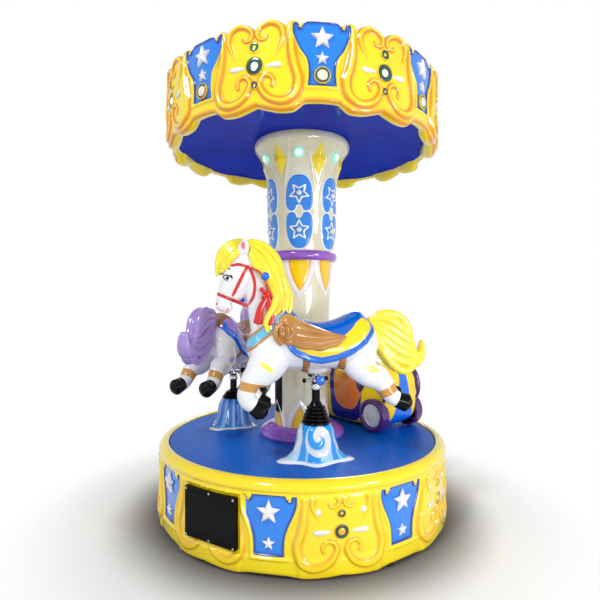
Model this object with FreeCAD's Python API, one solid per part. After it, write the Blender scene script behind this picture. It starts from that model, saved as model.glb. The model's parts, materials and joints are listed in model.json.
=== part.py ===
# Three-seat mini carousel: a round base with a turntable deck, a centre column that
# carries a crowned canopy, two galloping horses on lifting posts and one car seat.
#
# Frame: millimetres, +Z up, origin at the bottom centre of the base on the floor.
# The front is -Y. An angle is counted about +Z from the front (-Y) towards +X, so a
# piece is modelled at the front and then turned to its own angle.
import FreeCAD, Part
import math
import os

V = FreeCAD.Vector
ORIGIN = V(0, 0, 0)
UP = V(0, 0, 1)
SIDE = V(0, 1, 0)

# Driving dimensions
BASE_R = 750.0             # widest radius of the base skirt
SKIRT_GAP = 6.0            # the skirt's hem stands this far off the floor
SHELL_T = 5.0              # moulded glass-fibre wall
DECK_Z = 378.0             # top of the deck
DECK_T = 6.0
DECK_R = 694.0
RIM_R = 697.0              # inner lip of the skirt, round the deck
CANOPY_R = 695.0           # outer wall of the canopy's crown
LOBE_R = 713.0             # face of the raised crown panels
CANOPY_BOTTOM = 1884.0
LOBE_BOTTOM = 1850.0
TOTAL_H = 2217.0
PANELS = 8
CROWN_PANEL_DEG = -16.0    # first raised crown panel
STAR_PANEL_DEG = 6.5       # first blue crown panel
SEAT_R = 425.0             # lifting posts, from the centre
HORSE_A_DEG = 8.3
HORSE_B_DEG = HORSE_A_DEG - 120.0
CAR_DEG = HORSE_A_DEG + 120.0
CAR_R = 440.0
STROKE = 80.0              # full lift of a horse
HORSE_B_DROP = 50.0        # horse B stands this much lower than horse A
HORSE_B_PITCH = 10.0       # and is set nose-down by this angle
WINDOW_DEG = -31.0

# Running gear under the deck
FLOOR_FRAME_Z = 60.0       # top of the base frame
RING_Z = 330.0             # underside of the drive ring
RING_IN, RING_OUT = 600.0, 660.0
ROLLER_R = 35.0
ROLL_GAP = 0.3             # between a roller and the surface that it runs on
ROLLER_MID = 630.0
TRACK_Z = 70.0
TRACK_IN, TRACK_OUT = 485.0, 530.0
CRANK_WHEEL_R = 80.0
CRANK_Z = TRACK_Z + ROLL_GAP + CRANK_WHEEL_R
CRANK_R = STROKE / 2
REST_RISE = CRANK_R - 10.0  # a crank pin's height above or below its wheel's middle at rest
POST_R = 19.0
RUNNING = 0.05             # radial clearance of a shaft in its hole
PEDESTAL_TOP = 533.0
BRACKET_Z = 688.0          # underside of horse A's bracket
BELLY_Z = 777.0            # underside of horse A's body


def turn(shape, deg):
    """The shape turned about the centre axis."""
    turned_shape = shape.copy()
    turned_shape.rotate(ORIGIN, UP, deg)
    return turned_shape


def moved(shape, x=0.0, y=0.0, z=0.0):
    copy = shape.copy()
    copy.translate(V(x, y, z))
    return copy


def fuse(shapes):
    result = shapes[0]
    if len(shapes) > 1:
        result = result.fuse(shapes[1:])
    return result.removeSplitter()


def ring(inner, outer, low, high):
    """A plain ring about the centre axis."""
    solid = Part.makeCylinder(outer, high - low, V(0, 0, low))
    if inner > 0:
        solid = solid.cut(Part.makeCylinder(inner, high - low, V(0, 0, low)))
    return solid


def block(x, y, z):
    """A box from three (low, high) pairs."""
    return Part.makeBox(x[1] - x[0], y[1] - y[0], z[1] - z[0], V(x[0], y[0], z[0]))


def rod(start, end, radius):
    along = end.sub(start)
    return Part.makeCylinder(radius, along.Length, start, along)


def radial_rod(inner, outer, z, radius, x=0.0):
    """A round bar along the radius, at the front."""
    return rod(V(x, -inner, z), V(x, -outer, z), radius)


def curve(points):
    spline = Part.BSplineCurve()
    spline.interpolate(points)
    return spline.toShape()


def revolved(edges, sweep=360.0):
    return Part.Face(Part.Wire(edges)).revolve(ORIGIN, UP, sweep)


def turned_shell(outline, inward, down, sweep=360.0):
    """A wall turned about the axis: a smooth (r, z) outline and its copy moved inwards."""
    outer = [V(r, 0, z) for r, z in outline]
    inner = [V(r - inward, 0, z - down) for r, z in outline]
    edges = [curve(outer), Part.makeLine(outer[-1], inner[-1]),
             curve(inner), Part.makeLine(inner[0], outer[0])]
    return revolved(edges, sweep)


def turned_solid(outline):
    """A solid turned about the axis from a closed (r, z) polygon."""
    points = [V(r, 0, z) for r, z in outline]
    return revolved(Part.makePolygon(points + [points[0]]).Edges)


def oval(centre, along, half_width, half_height, count=12):
    """A closed oval wire across the direction `along`, level from side to side."""
    across = along.cross(SIDE).normalize()
    points = []
    for i in range(count):
        angle = 2 * math.pi * i / count
        points.append(centre + SIDE * (half_width * math.cos(angle))
                      + across * (half_height * math.sin(angle)))
    spline = Part.BSplineCurve()
    spline.interpolate(Points=points, PeriodicFlag=True)
    return Part.Wire([spline.toShape()])


def limb(stations, side=0.0, spread=0.0):
    """A lofted limb from (x, z, half width, half height) stations, spreading sideways."""
    step = spread / (len(stations) - 1)
    centres = [V(x, side + i * step, z) for i, (x, z, _, _) in enumerate(stations)]
    wires = []
    for i, (_, _, wide, high) in enumerate(stations):
        before = centres[max(i - 1, 0)]
        after = centres[min(i + 1, len(centres) - 1)]
        wires.append(oval(centres[i], (after - before).normalize(), wide, high))
    return Part.makeLoft(wires, True, True)


def at_seat(shape, deg, radius=SEAT_R):
    """A shape modelled about a seat's own axis, put at that seat."""
    return turn(moved(shape, 0, -radius), deg)


# ---- base ----------------------------------------------------------------------

FOOT_DEGS = [30 + 60 * k for k in range(6)]
SPOKE_DEGS = [60 * k for k in range(6)]
FOOT_R = 717.0
SUPPORT_DEGS = (60.0, 180.0, 300.0)
DRIVE_DEG = 120.0


def levelling_foot():
    pad = Part.makeCylinder(18, 12, V(0, -FOOT_R, 0))
    stud = Part.makeCylinder(6, 56, V(0, -FOOT_R, 12))
    return pad.fuse(stud)


def base_frame():
    """Floor ring of inverted channel with six hollow spokes and a hub."""
    ring_in, ring_out, wall, low = 698.0, 738.0, 4.0, 20.0
    channel = ring(ring_in, ring_out, low, FLOOR_FRAME_Z)
    channel = channel.cut(ring(ring_in + wall, ring_out - wall, low, FLOOR_FRAME_Z - wall))
    parts = [channel, Part.makeCylinder(70, FLOOR_FRAME_Z - low, V(0, 0, low))]
    for deg in SPOKE_DEGS:
        bar = block((-20, 20), (-ring_in - 1, -60), (low, FLOOR_FRAME_Z))
        bar = bar.cut(block((-16, 16), (-ring_in - 1, -60), (low + 4, FLOOR_FRAME_Z - 4)))
        parts.append(turn(bar, deg))
    frame = fuse(parts)
    for deg in FOOT_DEGS:
        frame = frame.cut(turn(Part.makeCylinder(6.1, 60, V(0, -FOOT_R, 10)), deg))
    return frame


def centre_post():
    flange = ring(0, 110, FLOOR_FRAME_Z, FLOOR_FRAME_Z + 10)
    return flange.fuse(ring(0, 30, FLOOR_FRAME_Z + 10, 345))


def window_opening(half_width, low, high, near, far):
    return turn(block((-half_width, half_width), (-far, -near), (low, high)), WINDOW_DEG)


WINDOW_HALF, WINDOW_LOW, WINDOW_HIGH = 134.0, 98.0, 307.0
WINDOW_FACE = 742.0
INLET_DEG, INLET_Z = 165.0, 80.0


def skirt_shell():
    """Round moulded skirt with a rolled top rim."""
    outline = [(742, SKIRT_GAP), (745, 60), (744, 180), (745, 290), (BASE_R, 335),
               (744, 362), (728, 379), (711, 386), (RIM_R + SHELL_T, 383)]
    shell = turned_shell(outline, SHELL_T, SHELL_T)
    lip = ring(RIM_R, RIM_R + SHELL_T, 366, 381)
    shell = fuse([shell, lip])
    margin = 0.5
    shell = shell.cut(window_opening(WINDOW_HALF + margin, WINDOW_LOW - margin,
                                     WINDOW_HIGH + margin, 690, 790))
    inlet = block((-24, 24), (-790, -690), (INLET_Z - 14, INLET_Z + 14))
    return shell.cut(turn(inlet, INLET_DEG))


SCREW_SPOTS = [(x, z) for x in (-126.0, 0.0, 126.0) for z in (106.0, 299.0)]


def window_frame():
    frame = window_opening(WINDOW_HALF, WINDOW_LOW, WINDOW_HIGH, 724, WINDOW_FACE)
    hole = window_opening(WINDOW_HALF - 18, WINDOW_LOW + 18, WINDOW_HIGH - 18, 700, 770)
    frame = frame.cut(hole)
    for x, z in SCREW_SPOTS:
        frame = frame.cut(turn(radial_rod(720, 760, z, 2.1, x), WINDOW_DEG))
    return frame


def window_pane():
    pane = window_opening(WINDOW_HALF, WINDOW_LOW, WINDOW_HIGH, WINDOW_FACE, WINDOW_FACE + 4)
    for x, z in SCREW_SPOTS:
        pane = pane.cut(turn(radial_rod(720, 760, z, 2.1, x), WINDOW_DEG))
    return pane


def window_screws():
    face = WINDOW_FACE + 4
    screws = []
    for x, z in SCREW_SPOTS:
        screw = radial_rod(face - 14, face, z, 2.0, x).fuse(radial_rod(face, face + 2.5, z, 5, x))
        screws.append(turn(screw, WINDOW_DEG))
    return Part.makeCompound(screws)


def mains_inlet():
    """Recessed three-pin appliance inlet in the skirt."""
    flange = block((-30, 30), (-748, -746), (INLET_Z - 20, INLET_Z + 20))
    body = block((-23.5, 23.5), (-746, -712), (INLET_Z - 13.5, INLET_Z + 13.5))
    inlet = flange.fuse(body)
    inlet = inlet.cut(block((-18, 18), (-760, -722), (INLET_Z - 9, INLET_Z + 9)))
    pins = [block((x - 2, x + 2), (-741, -721), (INLET_Z - 1 + dz, INLET_Z + 1 + dz))
            for x, dz in ((-9.0, -3.0), (0.0, 3.0), (9.0, -3.0))]
    return turn(fuse([inlet] + pins), INLET_DEG)


def control_box():
    box = block((-110, 110), (-330, -180), (62, 150))
    lid = block((-114, 114), (-334, -176), (150, 156))
    glands = [rod(V(x, -345, 100), V(x, -330, 100), 9) for x in (-60.0, 0.0, 60.0)]
    return turn(fuse([box, lid] + glands), 150)


def speaker():
    """Loudspeaker that faces the skirt from inside."""
    basket = radial_rod(690, 726, 190, 62)
    cone_hole = Part.makeCone(24, 54, 30, V(0, -698, 190), V(0, -1, 0))
    magnet = radial_rod(650, 690, 190, 36)
    foot = block((-20, 20), (-726, -708), (FLOOR_FRAME_Z, 135))
    return turn(fuse([basket, magnet, foot]).cut(cone_hole), 225)


# ---- rollers and drive ---------------------------------------------------------

ROLLER_Z = RING_Z - ROLL_GAP - ROLLER_R
CHEEK_TOP = 315.0
PIN_R = 8.0
DRIVE_SHAFT_R = 10.0
GEARBOX_IN, GEARBOX_OUT = 668.0, 724.0


def roller_stand(bore, pin):
    foot = block((-30, 30), (-670, -590), (FLOOR_FRAME_Z, FLOOR_FRAME_Z + 6))
    parts = [foot]
    for inner in (597.0, 657.0):
        parts.append(block((-25, 25), (-inner - 6, -inner), (FLOOR_FRAME_Z + 6, CHEEK_TOP)))
    stand = fuse(parts)
    if pin:
        return fuse([stand, radial_rod(597, 663, ROLLER_Z, PIN_R)])
    return stand.cut(radial_rod(590, 670, ROLLER_Z, bore))


def roller_brackets():
    stands = [turn(roller_stand(0, True), deg) for deg in SUPPORT_DEGS]
    stands.append(turn(roller_stand(DRIVE_SHAFT_R + RUNNING, False), DRIVE_DEG))
    return Part.makeCompound(stands)


def support_roller(deg):
    tyre = radial_rod(612, 648, ROLLER_Z, ROLLER_R).cut(
        radial_rod(600, 660, ROLLER_Z, PIN_R + RUNNING))
    return turn(tyre, deg)


def drive_roller():
    tyre = radial_rod(612, 648, ROLLER_Z, ROLLER_R)
    shaft = radial_rod(592, 690, ROLLER_Z, DRIVE_SHAFT_R)
    return turn(fuse([tyre, shaft]), DRIVE_DEG)


def drive_motor():
    """Right-angle gearbox with the motor hanging below it."""
    gearbox = block((-45, 45), (-GEARBOX_OUT, -GEARBOX_IN), (245, 325))
    gearbox = gearbox.cut(radial_rod(GEARBOX_IN, 692, ROLLER_Z, DRIVE_SHAFT_R + RUNNING))
    motor = Part.makeCylinder(27, 160, V(0, -696, 85))
    fins = [Part.makeCylinder(28, 4, V(0, -696, z)) for z in range(105, 225, 12)]
    foot = block((-30, 30), (-723, -671), (FLOOR_FRAME_Z, 85))
    return turn(fuse([gearbox, motor, foot] + fins), DRIVE_DEG)


# ---- turntable -----------------------------------------------------------------

ARM_DEGS = [HORSE_A_DEG + 30 + 60 * k for k in range(6)]
FRAME_TOP = DECK_Z - DECK_T
GUIDE_OUT = 27.0
HUB_IN, HUB_OUT = 45.0, 56.0


def crank_hanger():
    """Plate that hangs from the drive ring and holds one crank wheel's axle."""
    flange = block((-30, 30), (-612, -455), (334, 342))
    plate = block((-30, 30), (-540, -532), (128, 334))
    axle = radial_rod(478, 536, CRANK_Z, 10)
    return fuse([flange, plate, axle])


def turntable_frame():
    parts = [ring(HUB_IN, HUB_OUT, 255, FRAME_TOP),
             ring(RING_IN, RING_OUT, RING_Z, 342),
             ring(662, 690, 342, FRAME_TOP),
             ring(376, 474, 334, 342)]
    for deg in ARM_DEGS:
        arm = block((-15, 15), (-670, -50), (342, FRAME_TOP))
        arm = arm.cut(block((-12, 12), (-671, -49), (345, FRAME_TOP - 3)))
        parts.append(turn(arm, deg))
    for deg in (HORSE_A_DEG, HORSE_B_DEG):
        parts.append(turn(crank_hanger(), deg))
    frame = fuse(parts).cut(Part.makeCylinder(HUB_IN, 200, V(0, 0, 250)))
    for deg in (HORSE_A_DEG, HORSE_B_DEG):
        frame = frame.cut(at_seat(Part.makeCylinder(GUIDE_OUT + 0.1, 60, V(0, 0, 320)), deg))
    return frame


def hub_bearings():
    rings = [ring(30 + RUNNING, HUB_IN - 0.02, low, low + 20) for low in (262.0, 322.0)]
    return Part.makeCompound(rings)


def deck_plate():
    plate = ring(60, DECK_R, FRAME_TOP, DECK_Z)
    for deg in (HORSE_A_DEG, HORSE_B_DEG):
        plate = plate.cut(at_seat(Part.makeCylinder(GUIDE_OUT + 1, 20, V(0, 0, 365)), deg))
    return plate


def guide_tube(deg):
    """Steel guide for a lifting post, with its flange under the deck."""
    tube = ring(POST_R + RUNNING, GUIDE_OUT, 256, 520)
    return at_seat(fuse([tube, ring(POST_R + RUNNING, 45, 342, 348)]), deg)


def crank_wheel(deg, phase):
    """Rubber-tyred wheel on the floor track, with a crank pin on its inner face."""
    tyre = radial_rod(492, 520, CRANK_Z, CRANK_WHEEL_R)
    disc = radial_rod(470, 492, CRANK_Z, 55)
    wheel = fuse([tyre, disc]).cut(radial_rod(476, 530, CRANK_Z, 10 + RUNNING))
    reach = math.sqrt(CRANK_R ** 2 - REST_RISE ** 2)
    pin = radial_rod(447, 470, CRANK_Z + phase * REST_RISE, 8, phase * reach)
    return turn(fuse([wheel, pin]), deg)


# ---- centre column -------------------------------------------------------------

def column_core():
    tube = ring(HUB_IN, 51, FRAME_TOP, 1950)
    return fuse([tube, ring(HUB_IN, 110, DECK_Z, DECK_Z + 10)])


LOWER_SHELL = [(143, DECK_Z), (143, 600), (145, 850), (149, 1100), (158, 1296)]
UPPER_SHELL = [(168, 1352), (180, 1450), (184, 1560), (187, 1700), (203, 1800),
               (228, 1870), (252, 1915), (251, 1934), (236, 1942)]


def column_foot_ring():
    return turned_solid([(144, DECK_Z), (226, DECK_Z), (228, 392), (216, 412), (190, 426),
                         (160, 430), (144, 430)])


def column_mid_ring():
    centre, half_h, half_w = 1324.0, 24.0, 17.0
    points = []
    for i in range(16):
        angle = 2 * math.pi * i / 16
        points.append(V(168 + half_w * math.cos(angle), 0, centre + half_h * math.sin(angle)))
    spline = Part.BSplineCurve()
    spline.interpolate(Points=points, PeriodicFlag=True)
    torus = revolved([spline.toShape()])
    web = ring(62, 160, 1298, 1350)
    return fuse([torus, web.cut(ring(62, 152, 1304, 1344))])


def column_upper_shell():
    return turned_shell(UPPER_SHELL, SHELL_T, 0)


def upper_body():
    """The upper shell as a thick body, to trim what is stuck on its outside."""
    return turned_shell(UPPER_SHELL, 60.0, 0)


def column_hatch():
    """Curved cover on the column's lower part."""
    low, high, half_deg, middle_deg = 503.0, 763.0, 20.0, -67.0
    profile = [V(143.6, 0, low), V(146.6, 0, low), V(147.6, 0, high), V(144.9, 0, high)]
    cover = revolved(Part.makePolygon(profile + [profile[0]]).Edges, 2 * half_deg)
    return turn(cover, middle_deg - 90 - half_deg)


LAMP_DEGS = [-4.8 + 60 * k for k in range(6)]
GEM_DEGS = [25.2 + 60 * k for k in range(6)]


def outward(z, radius, depth, bulge, radial):
    """A round lens on a wall: a short drum with a domed face."""
    drum = radial_rod(radial, radial + depth, z, radius)
    ball_r = (radius ** 2 + bulge ** 2) / (2 * bulge)
    ball = Part.makeSphere(ball_r, V(0, -(radial + depth + bulge - ball_r), z))
    cap = ball.common(radial_rod(radial + depth, radial + depth + bulge + 1, z, radius))
    return fuse([drum, cap])


def column_lamps():
    lamp = outward(1834, 20, 8, 5, 214).cut(upper_body())
    return Part.makeCompound([turn(lamp, deg) for deg in LAMP_DEGS])


def medallion_lamps():
    lamps = []
    for deg in LAMP_DEGS:
        lamps.append(turn(outward(1450, 14, 4, 9, 182.5), deg))
        lamps.append(turn(outward(1636, 14, 4, 9, 187.5), deg))
    return Part.makeCompound(lamps)


def column_gems():
    """Long faceted diamonds: two four-sided points joined at their widest line."""
    spots = [V(-34, -207, 1815), V(0, -237, 1878), V(34, -207, 1815), V(0, -195, 1738)]
    face, back = V(0, -229, 1816), V(0, -180, 1815)
    sides = []
    for i in range(4):
        a, b = spots[i], spots[(i + 1) % 4]
        sides.append(Part.Face(Part.makePolygon([a, b, face, a])))
        sides.append(Part.Face(Part.makePolygon([b, a, back, b])))
    gem = Part.makeSolid(Part.makeShell(sides)).cut(upper_body())
    return Part.makeCompound([turn(gem, deg) for deg in GEM_DEGS])


# ---- canopy --------------------------------------------------------------------

PANEL_STEP = 360.0 / PANELS


def canopy_frame():
    parts = [ring(51, 120, 1950, 1962), ring(655, 680, 1962, 1987)]
    for k in range(PANELS):
        arm = block((-12, 12), (-660, -70), (1962, 1987)).cut(
            block((-9, 9), (-661, -69), (1965, 1984)))
        parts.append(turn(arm, k * PANEL_STEP))
    parts.append(ring(51, 80, 1962, 1987))
    return fuse(parts)


def canopy_ceiling():
    outline = [(681, 1893), (600, 1903), (480, 1916), (360, 1928), (254, 1938)]
    return turned_shell(outline, 0, 4)


def canopy_roof():
    outline = [(682, 2150), (520, 2166), (340, 2178), (160, 2184), (60, 2186)]
    return fuse([turned_shell(outline, 0, 4), ring(0, 62, 2178, 2186)])


def crown_panel():
    """Raised panel of the crown, with two lobes that hang below the edge."""
    half = 14.0
    profile = [(686, LOBE_BOTTOM + 18), (LOBE_R - 8, LOBE_BOTTOM + 6), (LOBE_R, 1880),
               (LOBE_R, 2180), (LOBE_R - 8, 2205), (688, 2205)]
    points = [V(r, 0, z) for r, z in profile]
    panel = revolved(Part.makePolygon(points + [points[0]]).Edges, 2 * half)
    panel = turn(panel, -90 - half)
    lobes = []
    for sign in (-1, 1):
        low = radial_rod(684, LOBE_R - 4, 1905, 1905 - LOBE_BOTTOM, 0)
        high = radial_rod(684, LOBE_R - 4, 2160, TOTAL_H - 2160, 0)
        lobes += [turn(low, sign * 6.5), turn(high, sign * 5.5)]
    return fuse([panel] + lobes)


def canopy_valance():
    wall = ring(CANOPY_R - 12, CANOPY_R, CANOPY_BOTTOM, 2205)
    lip = ring(660, CANOPY_R - 6, CANOPY_BOTTOM, CANOPY_BOTTOM + 4)
    parts = [wall, lip]
    for k in range(PANELS):
        parts.append(turn(crown_panel(), CROWN_PANEL_DEG + k * PANEL_STEP))
    crown = fuse(parts)
    return crown.cut(ring(0, CANOPY_R - 12, CANOPY_BOTTOM + 4, 2230)).cut(
        ring(0, 660, LOBE_BOTTOM - 10, 1900)).cut(
        ring(0, CANOPY_R - 12, LOBE_BOTTOM - 10, CANOPY_BOTTOM))


def valance_lamps():
    lamps = []
    for k in range(PANELS):
        lamps.append(turn(outward(2035, 24, 5, 6, LOBE_R), CROWN_PANEL_DEG + k * PANEL_STEP))
        lamps.append(turn(outward(1990, 22, 5, 6, CANOPY_R), STAR_PANEL_DEG + k * PANEL_STEP))
    return Part.makeCompound(lamps)


def valance_gems():
    gems = []
    for k in range(PANELS):
        for z, radius in ((2108.0, 20.0), (1957.0, 16.0)):
            gems.append(turn(outward(z, radius, 4, 6, LOBE_R), CROWN_PANEL_DEG + k * PANEL_STEP))
    return Part.makeCompound(gems)


# ---- pedestals, bellows and horses ---------------------------------------------

def pedestal(deg):
    """Hollow skirt round a guide tube that flares into four pointed toes."""
    levels = [(DECK_Z, 118.0, 46.0), (410.0, 104.0, 22.0), (455.0, 88.0, 8.0),
              (500.0, 76.0, 2.0), (PEDESTAL_TOP, 69.0, 0.0)]

    def skin(inset):
        wires = []
        for z, radius, toe in levels:
            points = []
            for i in range(32):
                angle = 2 * math.pi * i / 32
                reach = radius + toe * math.cos(2 * angle - math.pi / 2) ** 4 - inset
                points.append(V(reach * math.cos(angle), reach * math.sin(angle), z))
            spline = Part.BSplineCurve()
            spline.interpolate(Points=points, PeriodicFlag=True)
            wires.append(Part.Wire([spline.toShape()]))
        return Part.makeLoft(wires, True, False)

    shell = skin(0).cut(skin(SHELL_T))
    collar = ring(GUIDE_OUT + 0.1, 68, PEDESTAL_TOP - 8, PEDESTAL_TOP)
    return at_seat(fuse([shell, collar]), deg)


BELLOWS_TALL = 99.0
BELLOWS_FOLDS = 5


def bellows(deg, height):
    """Folded rubber boot between a pedestal and its post."""
    low_r, high_r, depth, wall = 66.0, 34.0, 10.0, 2.5
    outer, inner = [], []
    steps = 2 * BELLOWS_FOLDS
    for i in range(steps + 1):
        share = i / steps
        radius = low_r + (high_r - low_r) * share - (0 if i % 2 == 0 else depth)
        z = PEDESTAL_TOP + height * share
        outer.append((radius, z))
        inner.append((radius - wall * 1.6, z))
    boot = turned_solid(outer + inner[::-1])
    return at_seat(boot, deg)


def lifting_post(deg, drop, phase):
    """Shaft with the slotted yoke that its crank pin would run in."""
    pin_z = CRANK_Z + phase * REST_RISE
    shaft = Part.makeCylinder(POST_R, BRACKET_Z - drop + 34 - (pin_z + 17), V(0, 0, pin_z + 17))
    yoke = block((-62, 62), (-18, -3), (pin_z - 18, pin_z + 18))
    yoke = yoke.cut(block((-50, 50), (-19, -2), (pin_z - 8.5, pin_z + 8.5)))
    return at_seat(fuse([shaft, yoke]), deg)


FOOTREST_Z = BRACKET_Z + 57


def bracket(deg, drop):
    """Clamp between the post and the horse, with the footrest's hole."""
    parts = [Part.makeCylinder(26, 24, V(0, 0, BRACKET_Z)),
             block((-32, 32), (-26, 26), (BRACKET_Z + 24, BELLY_Z - 7)),
             block((-75, 75), (-42, 42), (BELLY_Z - 7, BELLY_Z))]
    clamp = fuse(parts)
    clamp = clamp.cut(Part.makeCylinder(POST_R + 0.05, 34, V(0, 0, BRACKET_Z)))
    clamp = clamp.cut(rod(V(0, -60, FOOTREST_Z), V(0, 60, FOOTREST_Z), 11.05))
    return at_seat(moved(clamp, z=-drop), deg)


def footrest(deg, drop):
    half = 125.0
    bar = rod(V(0, -half, FOOTREST_Z), V(0, half, FOOTREST_Z), 11)
    caps = [rod(V(0, s * (half - 12), FOOTREST_Z), V(0, s * (half + 10), FOOTREST_Z), 18.5)
            for s in (-1, 1)]
    return at_seat(moved(fuse([bar] + caps), z=-drop), deg)


HANDLE_X, HANDLE_Z = -239.0, 1194.0

BARREL = [(-284, 902, 26, 30), (-262, 900, 74, 84), (-226, 892, 92, 104), (-160, 888, 106, 108),
          (-80, 880, 110, 102), (0, 875, 111, 97), (90, 880, 110, 98), (160, 890, 112, 107),
          (205, 898, 108, 102), (236, 904, 84, 78), (264, 910, 34, 34)]
NECK = [(-196, 930, 84, 96), (-222, 1020, 70, 84), (-248, 1110, 60, 72), (-272, 1190, 54, 64),
        (-296, 1262, 48, 54)]
HEAD = [(-300, 1310, 36, 36), (-318, 1290, 44, 44), (-352, 1238, 52, 58), (-378, 1180, 49, 52),
        (-400, 1130, 40, 40), (-414, 1088, 35, 36), (-424, 1048, 28, 26)]
MANE = [(-300, 1352, 22, 26), (-236, 1330, 30, 46), (-178, 1260, 34, 62), (-150, 1160, 32, 62),
        (-142, 1050, 26, 48), (-138, 975, 16, 22)]
TAIL = [(205, 955, 26, 30), (252, 985, 28, 32), (300, 1000, 34, 46), (352, 985, 40, 60), (392, 920, 40, 64),
        (412, 850, 36, 54), (434, 800, 22, 26)]
SADDLE = [(-112, 1022, 34, 34), (-80, 985, 72, 40), (-20, 955, 98, 38), (60, 955, 106, 40),
          (130, 975, 106, 48), (190, 1003, 96, 50), (236, 1000, 70, 30)]
FOREARM = [(-192, 868, 46, 88), (-212, 820, 50, 84), (-246, 776, 50, 68), (-278, 744, 44, 52),
           (-294, 716, 40, 40)]
SHIN = [(-294, 720, 39, 40), (-303, 688, 40, 41), (-296, 657, 38, 40), (-274, 636, 36, 37),
        (-222, 596, 36, 37)]
HINDLEG = [(190, 872, 52, 88), (208, 808, 54, 74), (240, 764, 50, 56), (276, 743, 45, 48),
           (306, 716, 38, 39), (322, 688, 35, 36), (342, 664, 34, 35), (368, 648, 35, 36),
           (432, 625, 37, 38)]
LEG_SIDE, LEG_LEAN, HIND_SPREAD = 71.0, 12.0, 24.0


def pitched(shape, pitch):
    """The shape tipped nose-down by `pitch` degrees about the foot of the horse's belly."""
    shape.rotate(V(0, 0, BELLY_Z), SIDE, -pitch)
    return shape


def horse_shell(deg, drop, pitch):
    """Hollow moulded horse: body, neck, head, mane, tail, saddle and four legs."""
    parts = [limb(BARREL), limb(NECK), limb(HEAD), limb(MANE), limb(TAIL), limb(SADDLE)]
    for side in (-1, 1):
        for leg, spread in ((FOREARM, 0.0), (SHIN, 0.0), (HINDLEG, HIND_SPREAD)):
            parts.append(moved(limb(leg, side * LEG_SIDE, side * spread), x=side * LEG_LEAN))
        ear = Part.makeCone(17, 3, 62, V(-326, side * 26, 1304), V(0.05, side * 0.25, 1))
        parts.append(ear)
    horse = parts[0]
    for part in parts[1:]:
        horse = horse.fuse(part)
    inside = [(x, z, w - 6, h - 6) for x, z, w, h in BARREL[1:-1]]
    hollow = limb(inside)
    hole = rod(V(HANDLE_X, -90, HANDLE_Z), V(HANDLE_X, 90, HANDLE_Z), 10.1)
    horse = pitched(horse.cut(hole), pitch)
    pad = block((-75, 75), (-42, 42), (BELLY_Z, BELLY_Z + 40))
    below = block((-78, 78), (-45, 45), (BELLY_Z - 60, BELLY_Z))
    horse = horse.cut(below).fuse(pad).cut(pitched(hollow, pitch))
    horse = horse.cut(Part.makeCylinder(30, 60, V(0, 0, BELLY_Z)))
    return at_seat(moved(horse, z=-drop), deg)


def handlebar(deg, drop, pitch):
    half = 112.0
    parts = [rod(V(HANDLE_X, -half, HANDLE_Z), V(HANDLE_X, half, HANDLE_Z), 10)]
    parts += [Part.makeSphere(18.5, V(HANDLE_X, s * half, HANDLE_Z)) for s in (-1, 1)]
    return at_seat(moved(pitched(fuse(parts), pitch), z=-drop), deg)


# ---- car -----------------------------------------------------------------------

CAR_LOW = DECK_Z + 2
CAR_HALF = 136.0
TUB_X, TUB_HALF, TUB_FLOOR = (-85.0, 200.0), 98.0, 455.0
STEER_TILT = math.radians(35)
STEER_DIR = V(math.cos(STEER_TILT), 0, math.sin(STEER_TILT))
DASH = V(-88, 0, 690)
CAR_OUTLINE = [(-236, CAR_LOW + 4), (-304, 434), (-331, 520), (-328, 610), (-298, 690),
               (-210, 742), (-86, 768), (-70, 735), (-30, 696), (60, 686), (130, 720),
               (180, 790), (225, 806), (268, 780), (300, 660), (306, 520), (290, CAR_LOW)]
WHEEL_X = (-250.0, 235.0)
WHEEL_R = 90.0
WHEEL_Z = DECK_Z + WHEEL_R + 2
WHEEL_IN, WHEEL_OUT = 112.0, 168.0
ARCH_IN = WHEEL_IN - 5


def car_profile(points, half):
    """A solid pulled sideways from a smooth side outline that is closed along its base."""
    outline = [V(x, -half, z) for x, z in points]
    face = Part.Face(Part.Wire([curve(outline), Part.makeLine(outline[-1], outline[0])]))
    return face.extrude(V(0, 2 * half, 0))


def car_plan(inset):
    """Rounded plan of the body, used to round off its nose and tail."""
    half = CAR_HALF - inset
    front, back = -335 + inset, 312 - inset
    corner = [V(front + 48, -half, 0), V(front + 12, -half + 40, 0), V(front, 0, 0),
              V(front + 12, half - 40, 0), V(front + 48, half, 0)]
    tail = [V(back - 40, half, 0), V(back - 6, half - 46, 0), V(back, 0, 0),
            V(back - 6, -half + 46, 0), V(back - 40, -half, 0)]
    wire = Part.Wire([curve(corner), Part.makeLine(corner[-1], tail[0]), curve(tail),
                      Part.makeLine(tail[-1], corner[0])])
    return moved(Part.Face(wire), z=360).extrude(V(0, 0, 500))


def car_body_solid():
    return car_profile(CAR_OUTLINE, CAR_HALF).common(car_plan(0))


def tub(grow):
    x = (TUB_X[0] - grow, TUB_X[1] + grow)
    return block(x, (-TUB_HALF - grow, TUB_HALF + grow), (TUB_FLOOR - grow, 900))


def wheel_arches(grow):
    """Round wells in the body's flanks, over its four wheels."""
    wells = []
    for x in WHEEL_X:
        for side in (-1, 1):
            wells.append(rod(V(x, side * (ARCH_IN - grow), WHEEL_Z), V(x, side * 190, WHEEL_Z),
                             WHEEL_R + 8 + grow))
    return Part.makeCompound(wells)


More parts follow.
